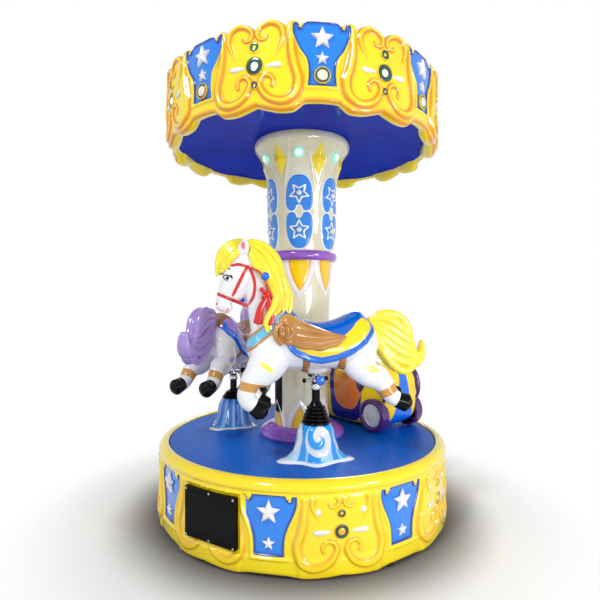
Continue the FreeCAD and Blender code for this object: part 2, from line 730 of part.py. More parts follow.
def car_shell():
    """Moulded car body with an open tub, hollow underneath."""
    middle_x, middle_z, scale = -10.0, 560.0, 0.955
    inner_points = [(middle_x + (x - middle_x) * scale, middle_z + (z - middle_z) * scale)
                    for x, z in CAR_OUTLINE]
    inner_points[0] = (inner_points[0][0], CAR_LOW - 5)
    inner_points[-1] = (inner_points[-1][0], CAR_LOW - 5)
    inner = car_profile(inner_points, CAR_HALF - 6).common(car_plan(6))
    cavity = inner.cut(tub(6)).cut(wheel_arches(5))
    shell = car_body_solid().cut(cavity).cut(tub(0)).cut(wheel_arches(0))
    start = DASH - STEER_DIR * 60
    shell = shell.cut(rod(start, DASH + STEER_DIR * 40, 8 + RUNNING))
    return at_seat(shell, CAR_DEG, CAR_R)


def car_trim():
    """Raised bead along each side edge of the nose."""
    stations = [(-196, 738, 9, 9), (-262, 716, 13, 13), (-306, 668, 15, 15), (-328, 606, 15, 15),
                (-326, 566, 12, 12)]
    body = car_body_solid()
    beads = [limb(stations, side * (CAR_HALF + 8)).cut(body) for side in (-1, 1)]
    return at_seat(Part.makeCompound(beads), CAR_DEG, CAR_R)


def car_wheel(x, side):
    """Moulded wheel with a dished face, and a stub that stands it off its well."""
    spot = [V(x, side * reach, WHEEL_Z) for reach in
            (ARCH_IN, WHEEL_IN, WHEEL_OUT - 8, WHEEL_OUT - 3, WHEEL_OUT)]
    tyre = rod(spot[1], spot[4], WHEEL_R).cut(rod(spot[2], V(x, side * 180, WHEEL_Z), 64))
    return fuse([tyre, rod(spot[2], spot[3], 60), rod(spot[0], spot[1], 14)])


def car_wheels():
    wheels = [car_wheel(x, side) for x in WHEEL_X for side in (-1, 1)]
    return at_seat(Part.makeCompound(wheels), CAR_DEG, CAR_R)


def car_seat():
    outline = [(70, 456), (66, 545), (76, 558), (150, 560), (172, 745), (182, 752),
               (197, 745), (199, 456)]
    half = TUB_HALF - 3
    points = [V(x, -half, z) for x, z in outline]
    bench = Part.Face(Part.makePolygon(points + [points[0]])).extrude(V(0, 2 * half, 0))
    return at_seat(bench, CAR_DEG, CAR_R)


def steering_wheel():
    centre = DASH + STEER_DIR * 96
    rim = Part.makeTorus(72, 9, centre, STEER_DIR)
    boss = rod(centre - STEER_DIR * 14, centre + STEER_DIR * 8, 22)
    shaft = rod(DASH - STEER_DIR * 30, centre, 8)
    spokes = []
    up = V(-STEER_DIR.z, 0, STEER_DIR.x)
    for k in range(3):
        angle = math.radians(90 + 120 * k)
        way = SIDE * math.cos(angle) + up * math.sin(angle)
        spokes.append(rod(centre, centre + way * 72, 6))
    return at_seat(fuse([rim, boss, shaft] + spokes), CAR_DEG, CAR_R)


# ---- slip ring and export ------------------------------------------------------

def slip_ring():
    """Electrical slip ring that stands on the centre post."""
    parts = [ring(0, 24, 345, 360)]
    parts += [ring(0, 18, 360, 398)]
    parts += [ring(0, 22, z, z + 4) for z in (364.0, 373.0, 382.0)]
    return fuse(parts)


def make_all():
    nodes = {
        "base_frame": base_frame(),
        "levelling_feet": Part.makeCompound([turn(levelling_foot(), d) for d in FOOT_DEGS]),
        "centre_post": centre_post(),
        "track_ring": ring(TRACK_IN, TRACK_OUT, FLOOR_FRAME_Z, TRACK_Z),
        "skirt_shell": skirt_shell(),
        "window_frame": window_frame(),
        "window_pane": window_pane(),
        "window_screws": window_screws(),
        "mains_inlet": mains_inlet(),
        "control_box": control_box(),
        "speaker": speaker(),
        "drive_motor": drive_motor(),
        "roller_brackets": roller_brackets(),
        "slip_ring": slip_ring(),
        "drive_roller": drive_roller(),
        "turntable_frame": turntable_frame(),
        "hub_bearings": hub_bearings(),
        "deck_plate": deck_plate(),
        "column_core": column_core(),
        "column_foot_ring": column_foot_ring(),
        "column_lower_shell": turned_shell(LOWER_SHELL, SHELL_T, 0),
        "column_mid_ring": column_mid_ring(),
        "column_upper_shell": column_upper_shell(),
        "column_hatch": column_hatch(),
        "column_lamps": column_lamps(),
        "column_gems": column_gems(),
        "medallion_lamps": medallion_lamps(),
        "canopy_frame": canopy_frame(),
        "canopy_ceiling": canopy_ceiling(),
        "canopy_valance": canopy_valance(),
        "canopy_roof": canopy_roof(),
        "valance_lamps": valance_lamps(),
        "valance_gems": valance_gems(),
        "car_shell": car_shell(),
        "car_trim": car_trim(),
        "car_wheels": car_wheels(),
        "car_seat": car_seat(),
        "steering_wheel": steering_wheel(),
    }
    for number, deg in enumerate(SUPPORT_DEGS, start=1):
        nodes["support_roller_%d" % number] = support_roller(deg)
    seats = (("a", HORSE_A_DEG, 0.0, 0.0, 1), ("b", HORSE_B_DEG, HORSE_B_DROP, HORSE_B_PITCH, -1))
    for name, deg, drop, pitch, phase in seats:
        nodes["pedestal_" + name] = pedestal(deg)
        nodes["guide_tube_" + name] = guide_tube(deg)
        nodes["bellows_" + name] = bellows(deg, BELLOWS_TALL - drop)
        nodes["crank_wheel_" + name] = crank_wheel(deg, phase)
        nodes["post_" + name] = lifting_post(deg, drop, phase)
        nodes["bracket_" + name] = bracket(deg, drop)
        nodes["footrest_" + name] = footrest(deg, drop)
        nodes["horse_%s_shell" % name] = horse_shell(deg, drop, pitch)
        nodes["handlebar_" + name] = handlebar(deg, drop, pitch)
    return nodes


os.makedirs("parts", exist_ok=True)
for node_name, shape in sorted(make_all().items()):
    shape.exportStep("parts/" + node_name + ".step")
    box = shape.BoundBox
    print("%-20s valid %s solids %d volume %.0f z %.0f..%.0f" % (
        node_name, shape.isValid(), len(shape.Solids), shape.Volume, box.ZMin, box.ZMax))
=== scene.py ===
import json
import math

import bpy
import numpy as np
from mathutils import Matrix, Vector
from mathutils.bvhtree import BVHTree


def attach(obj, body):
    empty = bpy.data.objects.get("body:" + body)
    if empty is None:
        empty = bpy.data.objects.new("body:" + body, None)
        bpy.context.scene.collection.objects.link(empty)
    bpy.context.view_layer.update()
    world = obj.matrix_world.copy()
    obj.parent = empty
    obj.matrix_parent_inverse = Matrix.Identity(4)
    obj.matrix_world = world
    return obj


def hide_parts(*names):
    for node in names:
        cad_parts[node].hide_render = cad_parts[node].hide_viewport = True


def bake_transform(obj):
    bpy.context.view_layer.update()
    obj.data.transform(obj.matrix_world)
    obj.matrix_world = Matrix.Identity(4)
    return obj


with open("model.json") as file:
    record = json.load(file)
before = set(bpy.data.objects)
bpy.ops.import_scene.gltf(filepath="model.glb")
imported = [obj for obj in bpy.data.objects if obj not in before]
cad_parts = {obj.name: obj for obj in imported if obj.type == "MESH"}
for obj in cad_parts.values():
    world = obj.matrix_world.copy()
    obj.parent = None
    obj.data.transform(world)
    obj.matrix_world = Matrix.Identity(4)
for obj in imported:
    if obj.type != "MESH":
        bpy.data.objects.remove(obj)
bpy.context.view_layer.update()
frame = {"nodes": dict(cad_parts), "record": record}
NODES = frame["nodes"]
MM = 0.001


# ---- small geometry helpers ------------------------------------------------------

def add_mesh(name, verts, faces, smooth=True):
    mesh = bpy.data.meshes.new(name)
    mesh.from_pydata([tuple(v) for v in verts], [], [tuple(f) for f in faces])
    mesh.update()
    if smooth:
        mesh.shade_smooth()
    obj = bpy.data.objects.new(name, mesh)
    bpy.context.scene.collection.objects.link(obj)
    return obj


def grid_faces(rows, cols, closed=False):
    last = cols if closed else cols - 1
    r, c = np.meshgrid(np.arange(rows - 1), np.arange(last), indexing="ij")
    a = r * cols + c
    b = r * cols + (c + 1) % cols
    faces = np.stack([a, b, b + cols, a + cols], axis=-1).reshape(-1, 4)
    return faces.tolist()


def grid(name, points, closed=False, fields=None):
    """A mesh from a (rows, cols, 3) array in metres, with per-vertex fields."""
    rows, cols = points.shape[:2]
    obj = add_mesh(name, points.reshape(-1, 3), grid_faces(rows, cols, closed))
    for key, values in (fields or {}).items():
        set_field(obj, key, values.reshape(-1))
    return obj


def capped(rings, tips):
    """Vertices and faces of a tube of rings, closed by a tip at its far end, or one at each end."""
    rows, cols = rings.shape[:2]
    verts = np.vstack([rings.reshape(-1, 3), tips])
    faces = grid_faces(rows, cols, closed=True)
    last, far = (rows - 1) * cols, len(verts) - 1
    for i in range(cols):
        j = (i + 1) % cols
        if len(tips) == 2:
            faces.append([j, i, far - 1])
        faces.append([last + i, last + j, far])
    return verts, faces


def turned_rings(profile, segments):
    """Rings about the z axis from (radius, height) pairs; a radius may vary round the ring."""
    angle = np.linspace(0, 2 * math.pi, segments, endpoint=False)
    return np.stack([np.stack([r * np.cos(angle), r * np.sin(angle), np.full(segments, h)],
                              axis=-1) for r, h in profile])


def set_field(obj, key, values):
    attribute = obj.data.attributes.get(key) or obj.data.attributes.new(key, "FLOAT", "POINT")
    attribute.data.foreach_set("value", np.asarray(values, np.float32).reshape(-1))


def per_vertex(obj, key):
    flat = np.empty(len(obj.data.vertices) * 3, np.float32)
    obj.data.vertices.foreach_get(key, flat)
    return flat.reshape(-1, 3)


def coords(obj):
    return per_vertex(obj, "co").astype(float)


def set_coords(obj, points):
    obj.data.vertices.foreach_set("co", np.asarray(points, np.float32).reshape(-1))
    obj.data.update()


def smooth_path(points, count):
    """Evenly spaced points on a Catmull-Rom curve through the given ones."""
    p = np.asarray(points, float)
    if len(p) == 2:
        return p[0] + (p[1] - p[0]) * np.linspace(0, 1, count)[:, None]
    p = np.vstack([2 * p[0] - p[1], p, 2 * p[-1] - p[-2]])
    fine = []
    for i in range(1, len(p) - 2):
        t = np.linspace(0, 1, 24, endpoint=False)[:, None]
        a, b, c, d = p[i - 1], p[i], p[i + 1], p[i + 2]
        fine.append(0.5 * (2 * b + (c - a) * t + (2 * a - 5 * b + 4 * c - d) * t ** 2
                           + (3 * b - a - 3 * c + d) * t ** 3))
    fine = np.vstack(fine + [p[-2][None]])
    steps = np.r_[0, np.cumsum(np.linalg.norm(np.diff(fine, axis=0), axis=1))]
    wanted = np.linspace(0, steps[-1], count)
    return np.stack([np.interp(wanted, steps, fine[:, k]) for k in range(fine.shape[1])], axis=1)


def near(px, py, curve):
    """Distance to a 2-D curve, and how far along it (0 to 1) the nearest point lies."""
    best = np.full(px.shape, 1e9)
    where = np.zeros(px.shape)
    count = len(curve) - 1
    for i in range(count):
        ax, ay = curve[i]
        dx, dy = curve[i + 1] - curve[i]
        t = np.clip(((px - ax) * dx + (py - ay) * dy) / (dx * dx + dy * dy + 1e-12), 0, 1)
        dist = np.hypot(px - ax - t * dx, py - ay - t * dy)
        closer = dist < best
        best = np.where(closer, dist, best)
        where = np.where(closer, (i + t) / count, where)
    return best, where


def step(low, high, x):
    t = np.clip((x - low) / (high - low), 0, 1)
    return t * t * (3 - 2 * t)


def bump(x):
    """A round ridge section: 1 in the middle, 0 from 1 outwards."""
    return np.clip(1 - x * x, 0, 1) ** 1.5


def polar(radius, deg, z):
    """A point in metres from a radius and height in mm; the angle is from the front."""
    a = np.radians(deg)
    return np.stack([radius * np.sin(a), -radius * np.cos(a), z + 0 * a], axis=-1) * MM


def tube(name, points, radii, sides=16, flat=1.0, count=None, up=(0, 0, 1)):
    """A swept round bar: radii along the path, `flat` squashes it along `up`."""
    points = np.asarray(points, float)
    count = count or max(2, 6 * len(points))
    path = smooth_path(points, count)
    share = np.linspace(0, 1, count)
    radii = np.interp(share, np.linspace(0, 1, len(np.atleast_1d(radii))), np.atleast_1d(radii))
    flat = np.interp(share, np.linspace(0, 1, len(np.atleast_1d(flat))), np.atleast_1d(flat))
    along = np.gradient(path, axis=0)
    along /= np.linalg.norm(along, axis=1)[:, None]
    side = np.cross(along, np.asarray(up, float))
    side /= np.maximum(np.linalg.norm(side, axis=1), 1e-9)[:, None]
    over = np.cross(side, along)
    angle = np.linspace(0, 2 * math.pi, sides, endpoint=False)
    rings = (path[:, None] + radii[:, None, None] * (
        np.cos(angle)[None, :, None] * side[:, None]
        + (flat[:, None] * np.sin(angle))[:, :, None] * over[:, None]))
    verts, faces = capped(rings, [path[0] - along[0] * radii[0] * 0.35,
                                  path[-1] + along[-1] * radii[-1] * 0.35])
    return add_mesh(name, verts * MM, faces)


def lathe(name, outline, segments=96, straight=False):
    """A turned piece about the centre axis from an (r, z) outline in mm."""
    line = np.asarray(outline, float)
    if not straight:
        line = smooth_path(line, 8 * len(line))
    angles = np.linspace(0, 360, segments, endpoint=False)
    points = np.stack([polar(np.full(segments, r), angles, z) for r, z in line])
    return grid(name, points, closed=True)


def place(obj, matrix):
    obj.data.transform(matrix)
    obj.data.update()
    return obj


def join(name, parts):
    """One piece from several, keeping their materials and fields."""
    bpy.ops.object.select_all(action="DESELECT")
    for part in parts:
        part.select_set(True)
    bpy.context.view_layer.objects.active = parts[0]
    if len(parts) > 1:
        bpy.ops.object.join()
    parts[0].name = name
    parts[0].data.name = name
    return parts[0]


def apply_modifiers(obj):
    graph = bpy.context.evaluated_depsgraph_get()
    mesh = bpy.data.meshes.new_from_object(obj.evaluated_get(graph))
    old = obj.data
    obj.modifiers.clear()
    obj.data = mesh
    bpy.data.meshes.remove(old)
    return obj


def melt(obj, voxel, rounds, amount=0.5):
    """Welds overlapping volumes into one smooth skin."""
    remesh = obj.modifiers.new("melt", "REMESH")
    remesh.mode = "VOXEL"
    remesh.voxel_size = voxel * MM
    remesh.use_smooth_shade = True
    soft = obj.modifiers.new("soft", "SMOOTH")
    soft.factor = amount
    soft.iterations = rounds
    apply_modifiers(obj)
    obj.data.shade_smooth()
    return obj


def fit(obj, body, node):
    """Hangs a piece on its body, in place of its CAD node."""
    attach(obj, body)
    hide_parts(node)


# ---- materials -------------------------------------------------------------------

def rgb(*values):
    return (*values, 1.0)


def new_material(name):
    material = bpy.data.materials.new(name)
    material.use_nodes = True
    tree = material.node_tree
    shader = tree.nodes["Principled BSDF"]
    return material, tree, shader


def noise(tree, scale, detail=3.0):
    where = tree.nodes.new("ShaderNodeTexCoord")
    node = tree.nodes.new("ShaderNodeTexNoise")
    node.inputs["Scale"].default_value = scale
    node.inputs["Detail"].default_value = detail
    tree.links.new(where.outputs["Object"], node.inputs["Vector"])
    return node.outputs["Fac"]


def remap(tree, value, low, high, to_low=0.0, to_high=1.0):
    node = tree.nodes.new("ShaderNodeMapRange")
    node.interpolation_type = "SMOOTHSTEP"
    node.inputs["From Min"].default_value = low
    node.inputs["From Max"].default_value = high
    node.inputs["To Min"].default_value = to_low
    node.inputs["To Max"].default_value = to_high
    tree.links.new(value, node.inputs["Value"])
    return node.outputs["Result"]


def mixed(tree, share, first, second):
    node = tree.nodes.new("ShaderNodeMix")
    node.data_type = "RGBA"
    tree.links.new(share, node.inputs["Factor"])
    for value, socket in ((first, node.inputs["A"]), (second, node.inputs["B"])):
        if isinstance(value, tuple):
            socket.default_value = value
        else:
            tree.links.new(value, socket)
    return node.outputs["Result"]


def combined(tree, operation, first, second):
    node = tree.nodes.new("ShaderNodeMath")
    node.operation = operation
    tree.links.new(first, node.inputs[0])
    tree.links.new(second, node.inputs[1])
    return node.outputs["Value"]


def field(tree, key):
    node = tree.nodes.new("ShaderNodeAttribute")
    node.attribute_type = "GEOMETRY"
    node.attribute_name = key
    return node.outputs["Fac"]


def bumped(tree, shader, height, strength, distance):
    node = tree.nodes.new("ShaderNodeBump")
    node.inputs["Strength"].default_value = strength
    node.inputs["Distance"].default_value = distance
    tree.links.new(height, node.inputs["Height"])
    tree.links.new(node.outputs["Normal"], shader.inputs["Normal"])


def enamel(name, colour, shade=None, layers=(), rough=(0.12, 0.24), coat=0.8, wave=0.35,
           specular=0.5, cloud=5.0, peel=(14.0, 0.004)):
    """Gloss paint on moulded glass fibre: soft clouding, orange peel and painted layers.

    Each layer is (field, low, high, colour): the colour comes in as the field goes from low
    to high. Three more values, (field, low, high), let it show only where that field is high.
    """
    material, tree, shader = new_material(name)
    shade = shade or tuple(c * 0.86 for c in colour)
    paint = mixed(tree, remap(tree, noise(tree, cloud), 0.35, 0.7), rgb(*colour), rgb(*shade))
    for key, low, high, tint, *gate in layers:
        share = remap(tree, field(tree, key), low, high)
        if gate:
            gate_share = remap(tree, field(tree, gate[0]), *gate[1:])
            share = combined(tree, "MULTIPLY", share, gate_share)
        paint = mixed(tree, share, paint, rgb(*tint))
    tree.links.new(paint, shader.inputs["Base Color"])
    roughness = remap(tree, noise(tree, 40.0), 0.3, 0.7, *rough)
    tree.links.new(roughness, shader.inputs["Roughness"])
    shader.inputs["Specular IOR Level"].default_value = specular
    shader.inputs["Coat Weight"].default_value = coat
    shader.inputs["Coat Roughness"].default_value = 0.06
    bumped(tree, shader, noise(tree, peel[0], 4.0), wave, peel[1])
    return material


def layered(name, base, layers, shade=None, coat=0.9):
    """Gloss paint of a piece with several painted bands."""
    return enamel(name, base, shade or tuple(c * 0.9 for c in base), layers, coat=coat,
                  wave=0.25, cloud=6.0)


def cloth_paint(name, middle, rim, seat):
    """Painted saddle cloth: a rim band, a middle field and the seat."""
    return enamel(name, middle, tuple(c * 0.88 for c in middle), (
        ("rim", 36.0, 33.0, rim), ("seat", -1.5, 1.5, seat)),
        rough=(0.14, 0.26), wave=0.2, peel=(60.0, 0.002))


def metal(name, colour, rough=(0.08, 0.2), scratches=120.0):
    material, tree, shader = new_material(name)
    dark = tuple(c * 0.8 for c in colour)
    paint = mixed(tree, remap(tree, noise(tree, 30.0), 0.35, 0.65), rgb(*colour), rgb(*dark))
    tree.links.new(paint, shader.inputs["Base Color"])
    shader.inputs["Metallic"].default_value = 1.0
    roughness = remap(tree, noise(tree, scratches), 0.3, 0.7, *rough)
    tree.links.new(roughness, shader.inputs["Roughness"])
    bumped(tree, shader, noise(tree, scratches, 5.0), 0.08, 0.001)
    return material


def plain(name, colour, rough=(0.4, 0.6), grain=90.0, strength=0.25, specular=0.5):
    """Rubber, painted steel and unpolished plastic."""
    material, tree, shader = new_material(name)
    dark = tuple(c * 0.7 for c in colour)
    paint = mixed(tree, remap(tree, noise(tree, 12.0), 0.3, 0.7), rgb(*colour), rgb(*dark))
    tree.links.new(paint, shader.inputs["Base Color"])
    tree.links.new(remap(tree, noise(tree, grain), 0.3, 0.7, *rough), shader.inputs["Roughness"])
    shader.inputs["Specular IOR Level"].default_value = specular
    bumped(tree, shader, noise(tree, grain, 4.0), strength, 0.0015)
    return material


def lit(name, colour, glow, strength):
    """A lamp lens that glows."""
    material, tree, shader = new_material(name)
    paint = mixed(tree, remap(tree, noise(tree, 60.0), 0.3, 0.7), rgb(*colour),
                  rgb(*(c * 0.92 for c in colour)))
    tree.links.new(paint, shader.inputs["Base Color"])
    shader.inputs["Emission Color"].default_value = rgb(*glow)
    shader.inputs["Emission Strength"].default_value = strength
    shader.inputs["Roughness"].default_value = 0.15
    shader.inputs["Coat Weight"].default_value = 1.0
    bumped(tree, shader, noise(tree, 200.0), 0.1, 0.0005)
    return material


def set_material(obj, material):
    obj.data.materials.clear()
    obj.data.materials.append(material)
    return obj


YELLOW = (1.0, 0.78, 0.0)
AMBER = (0.80, 0.27, 0.0)
BLUE = (0.0, 0.22, 0.86)
DEEP_BLUE = (0.0, 0.035, 0.36)
PEARL = (0.86, 0.85, 0.88)
GREEN = (0.01, 0.12, 0.10)


def panel_paint(name, airbrush_and_crease_shade):
    return enamel(name, YELLOW, shade=tuple(c * 0.93 for c in YELLOW), layers=(
        # orange: airbrushed paint that also stands in as painted shade in the creases and along the
        # edges
        ("orange", 0.05, 1.0, airbrush_and_crease_shade),
        ("blue", -0.4, 0.4, DEEP_BLUE),
        ("blue", 1.0, 16.0, BLUE)), rough=(0.10, 0.2), coat=1.0, wave=0.25)


CROWN_PAINT = panel_paint("crown_paint", AMBER)
SKIRT_PAINT = panel_paint("skirt_paint", (0.90, 0.42, 0.0))
PEARL_PAINT = enamel("pearl_paint", PEARL, shade=(0.72, 0.73, 0.82))
GREEN_PAINT = enamel("green_enamel", GREEN, shade=(0.0, 0.05, 0.05), rough=(0.08, 0.15))


# ---- raised scroll and star panels -------------------------------------------------
# Both the crown and the skirt carry eight of each. A panel is drawn in millimetres
# about its middle: u runs round the ride, v runs up.

SCROLL_LOW = [(160, 166), (149, 120), (149, 62), (160, 0), (176, -60), (164, -116),
              (120, -146), (70, -138), (36, -110), (20, -72), (33, -44), (58, -40), (77, -60),
              (72, -82)]
SCROLL_HIGH = [(88, 42), (104, 78), (117, 116), (106, 152), (70, 170), (30, 158), (10, 132),
               (20, 108), (41, 105), (50, 116)]


def scroll_relief(u, v):
    """Height in mm and orange of a scroll panel, both sides alike; the orange is airbrushed, and
    also painted crease shade.
    """
    across = np.abs(u)
    orange = np.zeros(u.shape)
    low = smooth_path(SCROLL_LOW, 90)
    high = smooth_path(SCROLL_HIGH, 70)
    edge = np.interp(v, low[:30, 1][::-1], low[:30, 0][::-1])
    plateau = step(edge + 14, edge - 6, across)
    height = 7.0 * plateau
    for curve, wide, tall in ((low, (13, 21, 21, 15, 8), (6, 13, 14, 12, 7)),
                              (high, (5, 13, 16, 12, 7), (3, 9, 11, 10, 6))):
        dist, t = near(across, v, curve)
        width = np.interp(t, np.linspace(0, 1, len(wide)), wide)
        top = np.interp(t, np.linspace(0, 1, len(tall)), tall)
        height = height + top * bump(dist / width)
        # orange along the flanks of each ridge: airbrushed, and also painted shade in the creases
        rim = np.exp(-((dist - 0.78 * width) / (0.48 * width)) ** 2)
        share = np.interp(t, [0, 0.15, 0.5, 0.8, 1], [0.4, 0.85, 0.9, 1, 1])
        orange = np.maximum(orange, rim * share)
    return height, orange


def star_relief(u, v, table):
    """Height in mm of a star panel, and millimetres inside its blue field.

    The table gives the field's half width: (v, half width) pairs.
    """
    low, high = table[0][0], table[-1][0]
    line = smooth_path(table, 80)
    half = np.interp(np.clip(v, low, high), line[:, 0], line[:, 1])
    across = np.abs(u)
    crown = high - 5.0 * (across / 110.0) ** 2
    inside = np.minimum(np.minimum(half - across, v - low), crown - v)
    hook_u, hook_v = half.max() * 0.72, high - 6
    hook = np.hypot((across - hook_u) / 0.9, v - hook_v) - 13
    tip = np.hypot(across - hook_u - 3, v - hook_v + 15) - 6
    inside = np.minimum(inside, np.minimum(hook, tip))
    height = -5.0 * step(-1.0, 6.0, inside) + 8.0 * bump((inside + 9.0) / 11.0)
    return height, inside


CROWN_STAR = [(-84, 59), (-60, 56), (-26, 55), (22, 62), (63, 90), (116, 114), (150, 119),
              (173, 116)]
SKIRT_STAR = [(-98, 62), (-60, 62), (-17, 67), (25, 82), (63, 100), (100, 112), (142, 113)]


PANELS = 8
PITCH = 360 / PANELS


def off_centre(deg, centre, pitch):
    """Degrees from the nearest of the places that repeat every pitch from the centre."""
    return (deg - centre + pitch / 2) % pitch - pitch / 2


def rounded(x):
    """A quarter round: 0 at 0, and 1 from 1 on."""
    return np.sqrt(np.clip(1 - (1 - np.clip(x, 0, 1)) ** 2, 0, 1))


def edge_rows(deg, edge, table):
    """Rows of points beside an edge, from (radius, height above the edge) pairs."""
    return np.stack([polar(np.full(len(deg), r), deg, edge + dz) for r, dz in table])


def padded(values, before, after, fill=0.0):
    """A field of the rows in the middle, with fill on the rows before and after them."""
    cols = values.shape[1]
    return np.concatenate([np.full((before, cols), fill), values, np.full((after, cols), fill)])


def panel_fields(deg, v, radius, scroll_deg, star_deg, star_table, stretch=1.0):
    """Relief height, orange (airbrushed, and painted crease shade) and blue fields of a whole ring
    of panels.
    """
    scroll_u, star_u = (np.radians(off_centre(deg, centre, PITCH)) * radius
                        for centre in (scroll_deg, star_deg))
    scroll_h, orange = scroll_relief(scroll_u, v / stretch)
    star_h, blue = star_relief(star_u, v, star_table)
    height = np.where(blue > -18, np.maximum(star_h, scroll_h * step(6, -12, blue)), scroll_h)
    height = np.where(blue > 0, star_h, height)
    orange = orange * step(2, -6, blue)
    return height, orange, blue


def crown_edge(deg, table):
    """Height of the crown's top or bottom edge, from (degrees from the middle, z) pairs."""
    line = smooth_path(table, 60)
    away = np.abs(off_centre(deg, CROWN_SCROLL_DEG, PITCH))
    return np.interp(away, line[:, 0], line[:, 1])


def panel_ring(name, sector, first, paint, body, node):
    """Eight sectors side by side, each from the middle of one star panel to the next."""
    for k in range(PANELS):
        part = sector(first + PITCH * k)
        part.name = f"{name}_{k + 1}"
        set_material(part, paint)
        fit(part, body, node)


# ---- crown -------------------------------------------------------------------------

CROWN_R = 694.0
CROWN_SCROLL_DEG, CROWN_STAR_DEG = -16.0, 6.5
CROWN_MID = 2032.0
CROWN_TOP_EDGE = [(0, 2183), (2.5, 2206), (5.6, 2216), (8.6, 2206), (10.4, 2192), (12, 2208),
                  (13.6, 2208), (15.5, 2196), (18, 2207), (22.5, 2206)]
CROWN_LOW_EDGE = [(0, 1876), (3.5, 1863), (8.0, 1851), (12.5, 1853), (15.2, 1872), (17, 1885),
                  (22.5, 1888)]
CROWN_LOW_ROLL = ((633.0, 78.0), (633.0, 60.0), (635.0, 40.0), (641.0, 20.0), (651.0, 6.0),
                  (664.0, -1.0), (675.0, -2.5), (683.0, -1.5))
CROWN_TOP_ROLL = ((682.0, 0.5), (677.0, -4.0), (676.0, -12.0), (676.0, -30.0))


def crown_sector(first):
    deg = np.linspace(first, first + PITCH, 200)
    top, low = crown_edge(deg, CROWN_TOP_EDGE), crown_edge(deg, CROWN_LOW_EDGE)
    z = low + (top - low) * np.linspace(0, 1, 175)[:, None]
    deg2 = np.broadcast_to(deg, z.shape)
    height, orange, blue = panel_fields(deg2, z - CROWN_MID, CROWN_R, CROWN_SCROLL_DEG,
                                        CROWN_STAR_DEG, CROWN_STAR)
    roll = np.minimum((z - low) / 14.0, (top - z) / 14.0)
    radius = CROWN_R - 8 + (8 + height) * rounded(roll)
    # orange along the top and bottom edges: airbrushed, and also painted shade by the rolled edges
    edge = np.exp(-((z - low) / 16.0) ** 2) + 0.7 * np.exp(-((top - z) / 12.0) ** 2)
    orange = np.maximum(orange, 0.85 * edge * step(4, -6, blue))
    rows = [edge_rows(deg, low, CROWN_LOW_ROLL), polar(radius, deg2, z),
            edge_rows(deg, top, CROWN_TOP_ROLL)]
    pads = len(CROWN_LOW_ROLL), len(CROWN_TOP_ROLL)
    return grid("crown_sector", np.concatenate(rows), fields={
        "orange": padded(orange, *pads), "blue": padded(blue, *pads, -30.0)})


panel_ring("crown_sector", crown_sector, CROWN_STAR_DEG, CROWN_PAINT, "turntable", "canopy_valance")


# ---- skirt -------------------------------------------------------------------------

SKIRT_R = 736.0
SKIRT_SCROLL_DEG, SKIRT_STAR_DEG = 11.9, -10.6
SKIRT_MID = 187.0
SKIRT_TOP = 338.0
SKIRT_OUTLINE = ((0, 6, 30, 60, 180, 290, 322, 338), (738, 739, 741, 740, 738, 737, 738, 741))
SKIRT_HEM = ((0, 3, 8, 11.5, 14, 17, 22.5), (13, 9, 5, 5, 8, 14, 16))
SKIRT_HEM_ROLL = ((735.0, 26.0), (728.0, 10.0), (727.0, 2.0), (729.5, -1.0))
SKIRT_RIM = ((743.0, 343), (745.5, 348), (746.5, 354), (745.5, 361), (742, 368), (736, 375),
             (728, 380.5), (718, 384.5), (709, 386), (702, 385.2), (698.5, 382), (697.4, 376))
WINDOW_DEG = -31.0


def skirt_sector(first):
    deg = np.linspace(first, first + PITCH, 200)
    away = np.abs(off_centre(deg, SKIRT_SCROLL_DEG, PITCH))
    low = np.interp(away, *SKIRT_HEM)
    z = low + (SKIRT_TOP - low) * np.linspace(0, 1, 150)[:, None]
    deg2 = np.broadcast_to(deg, z.shape)
    height, orange, blue = panel_fields(deg2, z - SKIRT_MID, SKIRT_R, SKIRT_SCROLL_DEG,
                                        SKIRT_STAR_DEG, SKIRT_STAR, stretch=0.93)
    across = np.abs(np.radians(off_centre(deg2, WINDOW_DEG, 360)) * SKIRT_R)
    box = np.maximum(across - 142, np.abs(z - 203) - 113)
    flat = step(-6, 10, box)
    height = height * step(334, 316, z) * 0.9 * flat
    blue = np.where(across < 165, -30, blue)
    orange = orange * 0.8 * flat * step(334, 312, z)
    # orange frame round the service window: airbrushed, and also painted shade at the recess edge
    orange = np.maximum(orange, 0.55 * np.exp(-(box / 7.0) ** 2) * (across < 170))
    plain_r = np.interp(z, *SKIRT_OUTLINE) + 2 * bump((z - 330) / 34.0)
    hem_band = step(95, 72, z)
    relief = 9 + np.clip(height, -6 + 6 * hem_band, 19)
    radius = plain_r - 13 + 4 * hem_band + relief * rounded((z - low) / 12.0)
    radius = np.where(box < 4, np.minimum(radius, 739.5), radius)
    # orange along the hem: airbrushed, and also painted shade at the foot of the skirt
    orange = np.maximum(orange, 0.5 * np.exp(-((z - low) / 14.0) ** 2))
    rows = [edge_rows(deg, low, SKIRT_HEM_ROLL), polar(np.minimum(radius, 753.0), deg2, z),
            edge_rows(deg, 0.0, SKIRT_RIM)]
    pads = len(SKIRT_HEM_ROLL), len(SKIRT_RIM)
    return grid("skirt_sector", np.concatenate(rows), fields={
        "orange": padded(orange, *pads), "blue": padded(blue, *pads, -30.0)})


panel_ring("skirt_sector", skirt_sector, SKIRT_STAR_DEG, SKIRT_PAINT, "base", "skirt_shell")


# ---- stars, lamps, gems and pearl drops on the panels -------------------------------

